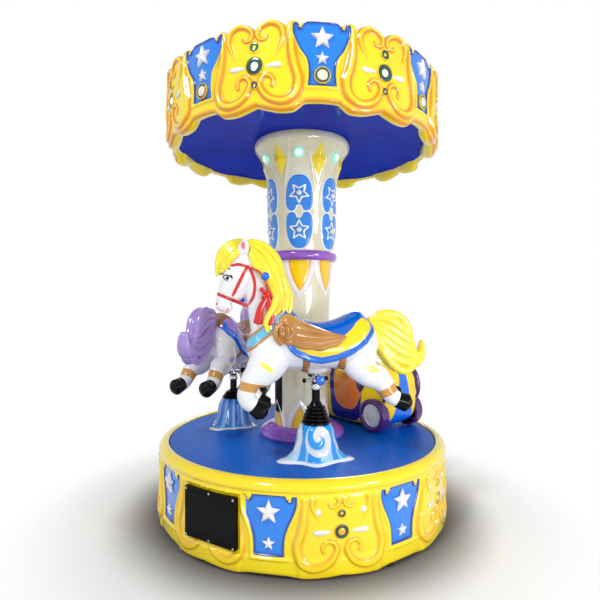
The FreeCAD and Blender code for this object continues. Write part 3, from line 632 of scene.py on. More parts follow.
def on_wall(obj, radius, deg, z):
    """Stands a flat piece, drawn in mm with x right, y up and z out, on the round wall."""
    a = math.radians(deg)
    right = Vector((math.cos(a), math.sin(a), 0))
    out = Vector((math.sin(a), -math.cos(a), 0))
    up = Vector((0, 0, 1))
    matrix = Matrix.Identity(4)
    for i, axis in enumerate((right * MM, up * MM, out * MM)):
        matrix.col[i].xyz = axis
    matrix.col[3].xyz = (out * radius + up * z) * MM
    return place(obj, matrix)


def disc(name, profile, segments=48):
    """A turned button: (radius, height) pairs from the rim to the middle, in mm."""
    rings = turned_rings(np.asarray(profile, float), segments)
    return add_mesh(name, *capped(rings, [(0, 0, profile[-1][1])]))


def star_outline(outer, inner, turn=0.0):
    t = math.pi / 2 + turn + np.arange(10) * math.pi / 5
    r = np.where(np.arange(10) % 2 == 0, outer, inner)
    return np.stack([r * np.cos(t), r * np.sin(t)], axis=1)


def star(name, outer, height):
    """A raised five-pointed star with a rounded body, drawn in mm."""
    corners = star_outline(outer, outer * 0.46)
    line = np.concatenate([a + (b - a) * np.linspace(0, 1, 5, endpoint=False)[:, None]
                           for a, b in zip(corners, np.roll(corners, -1, axis=0))])
    rings = [np.c_[line, np.full(len(line), -3.0)]]
    for t in np.linspace(0, math.pi / 2, 5):
        rings.append(np.c_[line * math.cos(t * 0.92), np.full(len(line), height * math.sin(t))])
    return add_mesh(name, *capped(np.stack(rings), [(0, 0, height)]))


def drop(name, long, thick, height):
    """A lying teardrop, thin at x = 0 and round at its far end."""
    share = np.linspace(0, 1, 28)
    width = thick / 2 * np.sqrt(share) * np.sqrt(1 - share ** 5) * 1.08
    angle = np.linspace(0, 2 * math.pi, 20, endpoint=False)
    rings = [np.stack([np.full(20, t * long), w * np.cos(angle),
                       w * height / (thick / 2) * np.sin(angle)], axis=-1)
             for t, w in zip(share, width)]
    return grid(name, np.stack(rings), closed=True)


CORE_LIT = lit("lamp_bright", (1.0, 0.93, 0.6), (1.0, 0.85, 0.35), 1.6)
LENS = enamel("lamp_lens", (0.92, 0.88, 0.66), rough=(0.06, 0.12), coat=1.0, wave=0.1)
YELLOW_TRIM = enamel("yellow_trim", YELLOW, shade=(0.85, 0.42, 0.0))
WHITE_GLOSS = enamel("white_gloss", (0.88, 0.88, 0.88), shade=(0.76, 0.78, 0.84))


def dome(radius, height, rise, low, high, count):
    """The profile of a domed lens or ball, between two angles of a quarter circle."""
    return [(radius * math.cos(t), height + rise * math.sin(t))
            for t in np.linspace(low, high, count)]


def lamp(name, ring_r, bowl_r, lens_r, lens, out=7.0):
    """A lamp in its moulded ring: rim, dark bowl and domed lens."""
    rim = disc("rim", [(ring_r, -4.0), (ring_r, out - 3), (ring_r - 1.2, out - 0.6),
                       (ring_r - 3, out), (bowl_r + 1, out - 0.5), (bowl_r, out - 3),
                       (bowl_r - 1, out - 4)])
    dish = disc("dish", [(bowl_r, out - 5.5), (bowl_r - 1, out - 2.6), (bowl_r - 4, out - 1.5),
                         (lens_r + 2, out - 2), (lens_r - 2, out - 3)])
    glass = disc("glass", [(lens_r, out - 4)] + dome(lens_r, out - 3, lens_r * 0.36, 0.1, 1.5, 9))
    return join(name, [set_material(rim, YELLOW_TRIM), set_material(dish, GREEN_PAINT),
                       set_material(glass, lens)])


# Lamps and gems on a scroll panel: kind, sizes of ring, bowl and lens, lens paint, how far
# out the ring stands, and its radius and height from the panel's own.
CROWN_LAMPS = (("lamp", (38, 35.5, 15), CORE_LIT, 7, 7, 1),
               ("gem", (22, 20, 7), YELLOW_TRIM, 6, 9, 76),
               ("gem", (17.5, 16, 5.5), YELLOW_TRIM, 5, 9, -76))
SKIRT_LAMPS = (("gem", (31, 27, 15), YELLOW_TRIM, 4, 4, 0),
               ("gem", (19, 15, 7), YELLOW_TRIM, 4, 4, 71))


def pearl_drop(long, side):
    bead = set_material(drop("drop", long, 27, 8.5), PEARL_PAINT)
    if side < 0:
        bead.data.transform(Matrix.Rotation(math.pi, 4, "Z"))
    bead.data.transform(Matrix.Translation((side * 40, 0, 0)))
    bead.data.transform(Matrix.Rotation(side * 0.04, 4, "Y"))
    return bead


def panel_set(name, radius, mid, scroll_deg, star_deg, body, stars, crown):
    """Everything that stands on one ring of panels; the skirt's window takes some places."""
    pieces = {"lamps": [], "gems": [], "drops": [], "stars": []}

    def clear(deg):
        return crown or abs(off_centre(deg, WINDOW_DEG, 360)) > 15

    for k in range(PANELS):
        deg = scroll_deg + PITCH * k
        if clear(deg):
            for kind, sizes, lens, out, away, up in CROWN_LAMPS if crown else SKIRT_LAMPS:
                piece = lamp(kind, *sizes, lens, out)
                pieces[kind + "s"].append(on_wall(piece, radius + away, deg, mid + up))
            for side in (-1, 1):
                bead = pearl_drop(72 if crown else 74, side)
                pieces["drops"].append(on_wall(bead, radius + (6 if crown else 2), deg, mid - 1))
                if not crown:
                    dot = disc("dot", [(13.5, -3), (13, 2), (10, 5), (5, 6.5), (2, 7)])
                    set_material(dot, PEARL_PAINT)
                    dot_deg = deg + side * math.degrees(94 / radius)
                    pieces["drops"].append(on_wall(dot, radius + 1, dot_deg, mid + 77))
        deg = star_deg + PITCH * k
        if clear(deg):
            for z, size, tall in stars:
                piece = set_material(star("star", size, tall), PEARL_PAINT)
                pieces["stars"].append(on_wall(piece, radius - 3, deg, z))
            if crown:
                bulb = lamp("lamp", 34, 30, 22, LENS, 5)
                pieces["lamps"].append(on_wall(bulb, radius + 1, deg, 1990))
    made = {}
    for kind, parts in pieces.items():
        if parts:
            made[kind] = join(f"{name}_{kind}", parts)
            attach(made[kind], body)
    return made


crown_set = panel_set("crown", CROWN_R, CROWN_MID, CROWN_SCROLL_DEG, CROWN_STAR_DEG,
                      "turntable", ((2140, 49, 15), (2059, 28.5, 10)), crown=True)
panel_set("skirt", SKIRT_R + 1, SKIRT_MID, SKIRT_SCROLL_DEG, SKIRT_STAR_DEG,
          "base", ((260, 50, 14), (137, 27, 9)), crown=False)
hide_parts("valance_lamps")
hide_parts("valance_gems")


# ---- materials of the CAD nodes ------------------------------------------------------

STEEL_GREY = plain("frame_steel", (0.16, 0.17, 0.18))
BRIGHT = metal("bright_steel", (0.72, 0.72, 0.73))
CHROME = metal("chrome", (0.86, 0.87, 0.88), rough=(0.03, 0.1))
FOOT_RUBBER = plain("foot_rubber", (0.02, 0.02, 0.02), rough=(0.6, 0.8))
PANE = enamel("smoked_pane", (0.002, 0.003, 0.003), rough=(0.03, 0.06), coat=0.2, wave=0.02,
              specular=0.04)
BLACK_PLASTIC = plain("black_plastic", (0.003, 0.003, 0.0035), rough=(0.3, 0.45), specular=0.06)
BLACK_GLOSS = enamel("black_gloss", (0.002, 0.002, 0.0025), rough=(0.12, 0.2), coat=0.3,
                     specular=0.05)
DARK_PLASTIC = plain("grey_box", (0.2, 0.2, 0.21))
CEILING_BLUE = enamel("ceiling_blue", (0.0, 0.028, 0.50), shade=(0.0, 0.018, 0.40),
                      rough=(0.06, 0.14), coat=0.02, specular=0.01)
BLUE_PAINT = enamel("blue_paint", (0.0, 0.16, 0.62))
LIGHT_BLUE = enamel("light_blue", (0.16, 0.42, 0.86))
PURPLE = enamel("purple_paint", (0.075, 0.012, 0.19))
CREAM = enamel("cream_paint", (0.93, 0.88, 0.72), shade=(0.88, 0.80, 0.60))
NAVY_VINYL = plain("navy_vinyl", (0.012, 0.02, 0.09), rough=(0.35, 0.5))
BLUE_PLASTIC = enamel("blue_plastic", (0.0, 0.14, 0.72), rough=(0.15, 0.25))

NODE_MATERIALS = {
    "frame_steel": STEEL_GREY, "bright_steel": BRIGHT, "foot_rubber": FOOT_RUBBER,
    "yellow_shell": YELLOW_TRIM, "smoked_pane": PANE, "black_plastic": BLACK_PLASTIC,
    "grey_box": DARK_PLASTIC, "roller_rubber": FOOT_RUBBER, "blue_deck": BLUE_PAINT,
    "purple_shell": PURPLE, "cream_shell": CREAM, "blue_ceiling": CEILING_BLUE,
    "lamp_lens": LENS, "yellow_gem": YELLOW_TRIM, "green_gem": GREEN_PAINT,
    "white_shell": WHITE_GLOSS, "blue_pedestal": LIGHT_BLUE, "boot_rubber": BLACK_GLOSS,
    "chrome": CHROME, "blue_plastic": BLUE_PLASTIC, "car_yellow": YELLOW_TRIM,
    "navy_vinyl": NAVY_VINYL}
for row in frame["record"]["subparts"]:
    for part_slot in NODES[row["node"]].material_slots:
        part_slot.material = NODE_MATERIALS[row["material_slot"]]

# ---- horses --------------------------------------------------------------------------
# A horse is drawn at the front of the ride in mm, facing -x, with its post on the z axis
# and y towards the column; then it is moved out to its seat.

HORSE_A_DEG, HORSE_B_DEG, CAR_DEG = 8.3, -111.7, 128.3
HORSE_SEAT_R, CAR_SEAT_R = 425.0, 440.0
HORSE_B_DROP, HORSE_B_PITCH = 50, 10.0
LEG_LEAN = 12


def seat_frame(deg, radius=HORSE_SEAT_R, drop=0.0):
    return (Matrix.Rotation(math.radians(deg), 4, "Z")
            @ Matrix.Translation((0, -radius * MM, -drop * MM)))


def limb(stations, sides=22, count=None):
    """A closed lofted limb from (x, y, z, half height, half width) stations, in metres."""
    line = smooth_path(stations, count or 7 * len(stations))
    path, high, wide = line[:, :3], line[:, 3], line[:, 4]
    along = np.gradient(path, axis=0)
    along /= np.linalg.norm(along, axis=1)[:, None]
    ends = []
    for end, sign in ((0, -1), (-1, 1)):
        reach = 0.7 * min(high[end], wide[end])
        caps = []
        for t in (0.35, 0.65, 0.88, 0.98):
            caps.append((path[end] + sign * along[end] * reach * t, along[end],
                         high[end] * math.sqrt(1 - t * t), wide[end] * math.sqrt(1 - t * t)))
        ends.append(caps)
    rows = ends[0][::-1] + list(zip(path, along, high, wide)) + ends[1]
    angle = np.linspace(0, 2 * math.pi, sides, endpoint=False)
    rings = []
    for centre, way, h, w in rows:
        up = np.cross(way, (0.0, 1.0, 0.0))
        up /= max(np.linalg.norm(up), 1e-9)
        over = np.cross(up, way)
        rings.append(centre + np.outer(np.cos(angle) * h, up) + np.outer(np.sin(angle) * w, over))
    rings = np.stack(rings)
    verts, faces = capped(rings, [rings[0].mean(0), rings[-1].mean(0)])
    return add_mesh("limb", verts * MM, faces)


def tree_of(*objs):
    verts, faces = [], []
    for obj in objs:
        start = len(verts)
        verts += [tuple(v) for v in coords(obj)]
        faces += [[start + i for i in face.vertices] for face in obj.data.polygons]
    return BVHTree.FromPolygons(verts, faces)


def side_hit(tree, x, z, side, spare=60.0):
    """How far out (mm) the skin is at side-view spot (x, z), or spare where there is none."""
    hit = tree.ray_cast(Vector((x, side * 400, z)) * MM, Vector((0, -side, 0)), 0.5)
    return abs(hit[0].y) / MM if hit[0] is not None else spare


def drape(name, line, half, lift, tree, side):
    """A rounded strap laid on the skin along a side-view line of (x, z) points."""
    count = 8 * len(line)
    path = smooth_path(line, count)
    along = np.gradient(path, axis=0)
    along /= np.linalg.norm(along, axis=1)[:, None]
    across = np.stack([-along[:, 1], along[:, 0]], axis=1)
    spots = np.array([-1.0, -0.92, -0.6, -0.25, 0.25, 0.6, 0.92, 1.0])
    rows = []
    for i in range(count):
        ends = min(1.0, 6 * min(i, count - 1 - i) / count + 0.35)
        row = []
        for k in spots:
            x, z = path[i] + across[i] * half * ends * k
            out = side_hit(tree, x, z, side) + lift * math.sqrt(max(0, 1 - k * k))
            row.append((x, side * (out - 2.0 * (abs(k) == 1)), z))
        rows.append(row)
    points = np.array(rows) * MM
    return grid(name, points if side < 0 else points[:, ::-1])


def wrap(name, centre, normal, half, lift, tree, reach, up=(0, 0, 1)):
    """A strap wound round a limb: rings of the skin cut by a plane, raised a little."""
    n = Vector(normal).normalized()
    a = Vector(up) - n * n.dot(Vector(up))
    a.normalize()
    b = n.cross(a)
    spots = (-1.0, -0.9, -0.4, 0.4, 0.9, 1.0)
    rows = []
    for k in spots:
        middle = Vector(centre) + n * half * k
        row = []
        for i in range(64):
            t = 2 * math.pi * i / 64
            way = a * math.cos(t) + b * math.sin(t)
            hit = tree.ray_cast((middle + way * reach) * MM, -way, reach * MM)
            far = (hit[0] / MM - middle).length if hit[0] is not None else reach * 0.3
            far += lift * math.sqrt(max(0.0, 1 - k * k)) - (2.5 if abs(k) == 1 else 0)
            row.append(tuple(middle + way * far))
        rows.append(row)
    points = np.array(rows)
    soft = (np.roll(points, 1, 1) + np.roll(points, -1, 1) + 2 * points) / 4
    return grid(name, soft * MM, closed=True)


def patch(name, middle, outline, tree, side, lift, crown, rings=5):
    """A small painted or raised shape laid on the skin, from a side-view outline."""
    rows = []
    for t in np.linspace(0.02, 1, rings):
        row = []
        for dx, dz in outline:
            x, z = middle[0] + dx * t, middle[1] + dz * t
            out = side_hit(tree, x, z, side) + lift + crown * (1 - t * t)
            row.append((x, side * out, z))
        rows.append(row)
    points = np.array(rows) * MM
    return grid(name, points if side < 0 else points[:, ::-1], closed=True)


def oval_line(wide, high, tilt=0.0, point=0.0):
    """An oval outline; `point` pinches its two ends into corners."""
    t = np.linspace(0, 2 * math.pi, 28, endpoint=False)
    x = wide * np.cos(t)
    z = high * np.sin(t) * (1 - point * np.abs(np.cos(t)) ** 3)
    c, s_ = math.cos(tilt), math.sin(tilt)
    return np.stack([x * c - z * s_, x * s_ + z * c], axis=1)


def locks(outer, inner, spread, count, thick, rows, seed, wave):
    """Strands of moulded hair between two side-view boundary lines."""
    draw = np.random.default_rng(seed)
    made = []
    out_line, in_line = smooth_path(outer, 12), smooth_path(inner, 12)
    share = np.linspace(0, 1, 12)
    for y0, y1 in rows:
        for k in range(count):
            a = k / max(1, count - 1)
            phase = draw.uniform(0, 6.28)
            curl = np.stack([np.sin(share * 9 + phase), np.cos(share * 7 + phase)], axis=1)
            line = out_line + (in_line - out_line) * a + curl * wave
            y = (y0 + (y1 - y0) * a) * (1 + 0.12 * np.sin(share * 6 + phase)) * spread(share)
            size = thick * (0.55 + 0.6 * np.sin(np.pi * np.clip(share * 0.92 + 0.06, 0, 1)))
            stations = np.stack([line[:, 0], y, line[:, 1], size, size * 0.9], axis=1)
            made.append(limb(stations, sides=10, count=26))
    return made


TORSO = [(-262, 0, 900, 84, 74), (-226, 0, 892, 104, 92), (-160, 0, 888, 108, 106),
         (-80, 0, 880, 102, 110), (0, 0, 874, 96, 111), (90, 0, 880, 98, 110),
         (160, 0, 890, 107, 112), (205, 0, 898, 102, 108), (236, 0, 904, 78, 84)]
NECK = [(-196, 0, 930, 96, 84), (-222, 0, 1020, 84, 70), (-248, 0, 1110, 72, 60),
        (-272, 0, 1190, 64, 54), (-296, 0, 1262, 54, 48)]
SKULL = [(-318, 0, 1290, 44, 44), (-352, 0, 1238, 58, 52), (-378, 0, 1180, 52, 49),
         (-400, 0, 1130, 40, 40), (-414, 0, 1088, 36, 35), (-421, 0, 1062, 31, 33)]
CHEEK = [(-322, 0, 1196, 42, 50), (-342, 0, 1152, 40, 47), (-366, 0, 1112, 32, 38)]
LIP = [(-396, 0, 1064, 24, 28), (-404, 0, 1046, 19, 25)]
EAR = [(-334, 30, 1286, 22, 18), (-330, 46, 1316, 27, 13), (-325, 54, 1342, 20, 9),
       (-320, 58, 1366, 5, 4)]
UPPER_FORE = [(-192, 60, 872, 92, 46), (-212, 68, 822, 88, 52), (-248, 73, 778, 72, 50),
              (-282, 75, 746, 50, 44), (-296, 75, 716, 40, 40)]
LOWER_FORE = [(-296, 75, 716, 40, 40), (-304, 74, 686, 42, 40), (-297, 72, 657, 40, 38),
              (-276, 70, 638, 36, 36)]
UPPER_HIND = [(186, 56, 876, 92, 52), (204, 66, 806, 80, 54), (236, 74, 762, 58, 50),
              (276, 82, 748, 56, 46), (308, 88, 720, 45, 40)]
LOWER_HIND = [(308, 88, 720, 45, 40), (322, 91, 690, 40, 38), (341, 93, 665, 38, 37),
              (360, 94, 652, 37, 36)]


def mirrored(stations, side, lean):
    return [(x + side * lean, y * side, z, h, w) for x, y, z, h, w in stations]


def horse_paint(name, hair, hair_groove_shade, brush):
    body = enamel(name + "_white", (0.87, 0.87, 0.88), shade=(0.78, 0.80, 0.86), layers=(
        ("brush", 0.15, 1.0, brush), ("pink", 0.2, 1.0, (0.85, 0.16, 0.22)),
        ("gold", -0.6, 0.6, (0.62, 0.30, 0.06))), wave=0.2)
    # the hair turns darker in its grooves: painted shade, from the field that crevices writes
    mane = enamel(name + "_hair", hair, shade=tuple(c * 0.9 for c in hair), layers=(
        ("groove_shade", 0.0, 1.0, hair_groove_shade),), wave=0.5)
    return body, mane


def crevices(obj):
    """Writes a field of how far each vertex lies below its smoothed surroundings: painted shade for
    the hair's grooves.
    """
    mesh = obj.data
    start = coords(obj)
    edges = np.empty(len(mesh.edges) * 2, np.int32)
    mesh.edges.foreach_get("vertices", edges)
    edges = edges.reshape(-1, 2)
    normal = per_vertex(obj, "normal")
    points = start.copy()
    degree = np.bincount(edges.ravel(), minlength=len(start))[:, None]
    for _ in range(15):
        total = np.zeros_like(points)
        np.add.at(total, edges[:, 0], points[edges[:, 1]])
        np.add.at(total, edges[:, 1], points[edges[:, 0]])
        points = total / np.maximum(degree, 1)
    depth = ((points - start) * normal).sum(axis=1) / MM
    set_field(obj, "groove_shade", np.clip((depth - 0.4) / 3.2, 0, 1))


RED_PAINT = enamel("red_paint", (0.72, 0.01, 0.01), shade=(0.5, 0.0, 0.01))
TAN_PAINT = enamel("tan_paint", (0.56, 0.27, 0.07), shade=(0.40, 0.17, 0.03), wave=0.5)
IRIS = enamel("iris_paint", (0.02, 0.09, 0.07), shade=(0.01, 0.05, 0.05))


def horse_body(name, paint):
    """The moulded body with its airbrushed fields, and its skin as it is without dents."""
    parts = [limb(TORSO, 28), limb(NECK), limb(SKULL), limb(CHEEK), limb(LIP)]
    for side in (-1, 1):
        for shape in (UPPER_FORE, LOWER_FORE, UPPER_HIND, LOWER_HIND):
            parts.append(limb(mirrored(shape, side, LEG_LEAN)))
        parts.append(limb(mirrored(EAR, side, 0)))
    parts.append(limb([(-30, 0, 800, 44, 40), (30, 0, 800, 44, 40)]))
    body = melt(join(name, parts), 4.6, 14, 0.5)
    points, normal = coords(body) / MM, per_vertex(body, "normal")
    x, y, z = points.T

    def blob(cx, cz, rx, rz, tilt=0.0, low=0.0):
        dx, dz = x - cx, z - cz
        c, s_ = math.cos(tilt), math.sin(tilt)
        far = np.hypot((dx * c + dz * s_) / rx, (-dx * s_ + dz * c) / rz)
        return np.clip(1 - far, 0, 1) * (np.abs(y) > low)

    # nostril, mouth and inner ear; shoulder and thigh airbrush; gold bands above the hooves
    set_field(body, "pink", np.maximum.reduce([
        1.6 * blob(-449, 1076, 15, 12, 0.4, 6), 1.5 * blob(-398, 1049, 22, 7, 0.9, 10),
        2.2 * blob(-331, 1330, 13, 24, 0.1, 20) * (normal[:, 0] < 0.2)]))
    set_field(body, "brush", np.maximum.reduce([
        1.5 * blob(-232, 806, 58, 18, -0.65, 40), 2.0 * blob(222, 792, 50, 22, -0.2, 40)]))
    gold = np.full(len(points), -50.0)
    for (bx, bz), (ax, az), half in (((-295, 722), (-0.2, -0.98), 19),
                                     ((318, 693), (0.5, -0.86), 18)):
        for side in (-1, 1):
            dx = x - bx - side * LEG_LEAN
            along = dx * ax + (z - bz) * az
            close = (np.hypot(dx, z - bz) < 85) & (y * side > 15)
            gold = np.where(close, np.maximum(gold, half - np.abs(along)), gold)
    set_field(body, "gold", gold)
    set_material(body, paint)
    skin = tree_of(body)

    # nostril and mouth dents, eye sockets
    dent = (3.5 * blob(-447, 1074, 9, 8, 0.5, 8) + 3.0 * blob(-401, 1054, 26, 5, 0.55, 8)
            + 3.5 * blob(-397, 1190, 24, 17, -0.3, 20)
            - 3.0 * blob(-400, 1209, 26, 9, -0.35, 20))
    set_coords(body, (points - normal * dent[:, None]) * MM)
    return body, skin


# Eye layers from the skin out: place, outline, how far out, how domed, and paint.
EYE_LAYERS = (((-397, 1190), oval_line(25, 15, -0.45, 0.5), -0.4, 0.8, BLACK_GLOSS),
              ((-396, 1188), oval_line(20, 11, -0.45, 0.5), -0.2, 2.2, WHITE_GLOSS),
              ((-398, 1190), oval_line(8.5, 10), 1.4, 1.6, IRIS),
              ((-398, 1189), oval_line(4.6, 6), 2.8, 0.6, BLACK_GLOSS),
              # a small white dot on the iris: a painted highlight
              ((-401, 1194), oval_line(2.2, 2.4), 3.6, 0.3, WHITE_GLOSS))
LASH = [(-424, 1206), (-408, 1212), (-388, 1204), (-374, 1190)]
BROW = [(-420, 1228), (-402, 1234), (-384, 1226)]
CHEEK_STRAP = [(-377, 1108), (-352, 1160), (-330, 1206), (-308, 1246)]
BROWBAND = [(-386, 1242), (-352, 1248), (-308, 1238)]
THROAT_STRAP = [(-308, 1240), (-290, 1204), (-280, 1160), (-286, 1112), (-306, 1072)]
TO_HANDLE = [(-306, 50, 1238), (-272, 66, 1222), (-246, 84, 1200)]
TO_BOW = [(-240, 86, 1190), (-232, 80, 1160), (-222, 72, 1132)]
MANE_OUT = [(-300, 1352), (-240, 1338), (-184, 1278), (-146, 1186), (-122, 1086), (-128, 1010)]
MANE_IN = [(-300, 1300), (-268, 1240), (-226, 1170), (-196, 1085), (-226, 1010), (-222, 962)]
LOCK_OUT = [(-306, 1350), (-362, 1350), (-414, 1318), (-440, 1262), (-440, 1206)]
LOCK_IN = [(-318, 1322), (-352, 1308), (-380, 1280), (-398, 1250), (-408, 1226)]
TAIL_OUT = [(244, 1000), (296, 1030), (352, 1034), (402, 1004), (432, 950), (438, 900),
            (424, 866)]
TAIL_IN = [(250, 968), (280, 900), (326, 826), (370, 782), (420, 768), (460, 796), (470, 846),
           (452, 890)]
TAIL_HOOK = [(420, 22, 806, 20, 18), (462, 24, 800, 22, 18), (494, 22, 832, 20, 16),
             (506, 18, 870, 14, 12), (504, 15, 902, 6, 6)]
HOOF = ((-10, 30), (-2, 35), (3, 36.5), (20, 38), (42, 40), (48, 40), (52, 37), (53, 30))


def horse_eyes(skin):
    eyes = []
    for side in (-1, 1):
        for spot, outline, lift, crown, paint in EYE_LAYERS:
            eyes.append(set_material(patch("eye", spot, outline, skin, side, lift, crown), paint))
        for line in (LASH, BROW):
            eyes.append(set_material(drape("brow", line, 2.6, 1.0, skin, side), BLACK_GLOSS))
    return eyes


def horse_bridle(skin):
    straps = [drape("strap", CHEEK_STRAP, 7.5, 3.0, skin, side) for side in (-1, 1)]
    straps.append(wrap("noseband", (-397, 0, 1102), (-0.38, 0, -0.92), 7.5, 3.2, skin, 120,
                       up=(1, 0, 0)))
    for side in (-1, 1):
        for line in (BROWBAND, THROAT_STRAP):
            straps.append(drape("strap", line, 7.0, 3.0, skin, side))
        for line in (TO_HANDLE, TO_BOW):
            path = [(x, side * y, z) for x, y, z in line]
            straps.append(tube("strap", path, [5.5, 5.5, 5.5], sides=12, count=16))
    return straps


def horse_hooves():
    hooves = []
    for side in (-1, 1):
        for x, y, z, ax, az in ((-274, 70, 637, 0.76, -0.65), (362, 95, 650, 0.94, -0.34)):
            stations = [(x + side * LEG_LEAN + ax * t, side * y, z + az * t, r, r * 0.95)
                        for t, r in HOOF]
            hooves.append(limb(stations, sides=28, count=30))
    return hooves


def widths(places, values):
    """How wide the hair stands out along its length."""
    return lambda share: np.interp(share, places, values)


def horse_mane():
    neck = widths([0, 0.15, 0.5, 1], [0.75, 1.0, 1.1, 1.25])
    crest = [(x - 26, z - 8) for x, z in MANE_OUT]
    return (locks(MANE_OUT, MANE_IN, neck, 7, 15, ((-10, -62), (10, 62)), 3, 6.0)
            + locks(MANE_OUT, crest, neck, 3, 17, ((0, 0),), 5, 4.0)
            + locks(LOCK_OUT, LOCK_IN, widths([0, 0.5, 1], [0.7, 1, 0.9]), 4, 14,
                    ((-8, -42), (8, 42)), 8, 3.5)
            + locks(LOCK_OUT, LOCK_OUT, widths([0, 1], [1, 1]), 1, 15, ((0, 0),), 9, 2.0))


def horse_tail():
    hair = locks(TAIL_OUT, TAIL_IN, widths([0, 0.3, 0.75, 1], [0.5, 1, 1, 0.5]), 7, 17,
                 ((-25, -25), (0, 0), (25, 25)), 12, 4.0)
    for side in (-1, 0, 1):
        hair.append(limb(mirrored(TAIL_HOOK, side, 0), sides=12))
    return hair


def moulded_hair(name, strands, voxel):
    hair = melt(join(name, strands), voxel, 3, 0.4)
    crevices(hair)
    return hair


CLOTH_START, CLOTH_END = -152, 262
BARREL_Z = 884
CLOTH_LOW = [(-152, 905), (-128, 866), (-100, 845), (-50, 824), (6, 815), (70, 824), (125, 842),
             (175, 872), (215, 905), (248, 950), (262, 985)]
SEAT_LIFT = [(-152, 12), (-125, 30), (-109, 58), (-92, 44), (-60, 28), (0, 22), (60, 24),
             (120, 30), (170, 44), (200, 50), (228, 36), (250, 16), (262, 10)]
SEAT_EDGE = [(-152, 1050), (-110, 1010), (-60, 975), (22, 955), (110, 940), (140, 965),
             (168, 998), (192, 1014), (216, 1010), (240, 990), (262, 955)]
FLAP_TOP = [(-180, 1004), (-156, 1030), (-110, 1026), (-60, 1000), (22, 966), (80, 947),
            (118, 938)]
FLAP_LOW = [(-184, 930), (-150, 906), (-80, 886), (0, 878), (70, 896), (118, 930)]


def saddle_cloth(name, skin):
    """Rays from the barrel's middle find the skin, and the cloth is lifted off it.

    Its fields are the millimetres inside its edge, and above the seat's painted line.
    """
    rows_u = np.linspace(CLOTH_START, CLOTH_END, 74)
    tables = [np.interp(rows_u, *np.array(table).T) for table in (CLOTH_LOW, SEAT_LIFT, SEAT_EDGE)]
    cloth = []
    for u, low_z, seat_lift, seat_z in zip(rows_u, *tables):
        reach = math.acos(max(-0.75, min(0.98, (low_z - BARREL_Z) / 118)))
        middle = Vector((u, 0, BARREL_Z))
        row = []
        for k in np.linspace(-1, 1, 81):
            way = Vector((0, math.sin(k * reach), math.cos(k * reach)))
            hit = skin.ray_cast((middle + way * 260) * MM, -way, 0.26)
            far = (hit[0] / MM - middle).length if hit[0] is not None else 110
            inset = (1 - abs(k)) * reach * far
            rim = min(inset, min(u - CLOTH_START, CLOTH_END - u) * 1.2 + 1)
            on_top = 1 - abs(math.sin(k * reach)) ** 1.6
            lift = 4 + 6 * min(1.0, rim / 6) + (seat_lift - 8) * on_top * min(1, rim / 12)
            lift += 4.5 * max(0.0, 1 - ((rim - 12) / 12) ** 2)
            spot = middle + way * (far + (lift if rim > 1.2 else -3))
            row.append((*spot, rim, spot.z - seat_z))
        cloth.append(row)
    cloth = np.array(cloth)[:, ::-1]
    return grid(name, cloth[..., :3] * MM, fields={"rim": cloth[..., 3], "seat": cloth[..., 4]})


def saddle_flap(skin, side):
    """A fluted wing with a scalloped lower edge."""
    top_line, low_line = smooth_path(FLAP_TOP, 60), smooth_path(FLAP_LOW, 60)
    rows = []
    for a, top, low in zip(np.linspace(0, 1, 60), top_line, low_line):
        row = []
        for b in np.linspace(0, 1, 46):
            x, z = top + (low - top) * b
            scallop = 7 * abs(math.sin(a * 12.5 + 0.3)) * b ** 3
            inside = min(min(b, 1 - b) * np.linalg.norm(low - top), a * 200, (1 - a) * 160)
            flute = 5.0 * abs(math.sin((b * 4.2 + a * 1.4) * math.pi)) * min(1, a * 3)
            lift = min(inside, 8) * 1.3 + flute * min(1, inside / 10) if inside > 0 else -3
            row.append((x, side * (side_hit(skin, x, z, side, 70) + lift), z - scallop))
        rows.append(row)
    points = np.array(rows)
    points[1:-1] = (points[:-2] + 2 * points[1:-1] + points[2:]) / 4
    return grid("flap", (points[:, ::-1] if side < 0 else points) * MM)


def saddle_scroll(skin, side):
    """The wing's rolled front end."""
    stations = []
    for turn in np.linspace(0, 1, 60):
        r, t = 50 * (1 - 0.82 * turn), -1.9 - turn * 9.2
        x, z = -150 + r * math.cos(t), 954 + r * math.sin(t)
        out = side_hit(skin, x, z, side, 70)
        stations.append((x, side * (out + 7), z, 12.5 - 5 * turn))
    path = smooth_path(stations, 90)
    return tube("scroll", path[:, :3], path[:, 3], sides=12, count=90, up=(0, 1, 0))


def bow(skin, side):
    """Four loops, a knot and two tails at the side of the neck."""
    def spot(x, z, lift):
        return (x, side * (side_hit(skin, x, z, side) + lift), z)

    parts = []
    for dx, dz in ((-26, 12), (26, 12), (-20, -14), (20, -14)):
        line = [spot(-226, 1122, 22), spot(-226 + dx, 1122 + dz, 24),
                spot(-226 + dx * 0.9, 1122 + dz * 1.9, 20)]
        parts.append(tube("loop", line, [6, 12, 9], sides=12, flat=0.7, count=14))
    knot = [spot(-226, 1133, 24), spot(-226, 1110, 24)]
    parts.append(tube("knot", knot, [9, 11, 9], count=9))
    for middle_x, end_x, end_z in ((-255, -268, 992), (-217, -216, 990)):
        line = [spot(-226, 1112, 20), spot(middle_x, 1060, 16), spot(end_x, end_z, 11)]
        parts.append(tube("tail", line, [9, 15, 21], sides=14, flat=0.32, count=22,
                          up=(0, 1, 0)))
    return parts


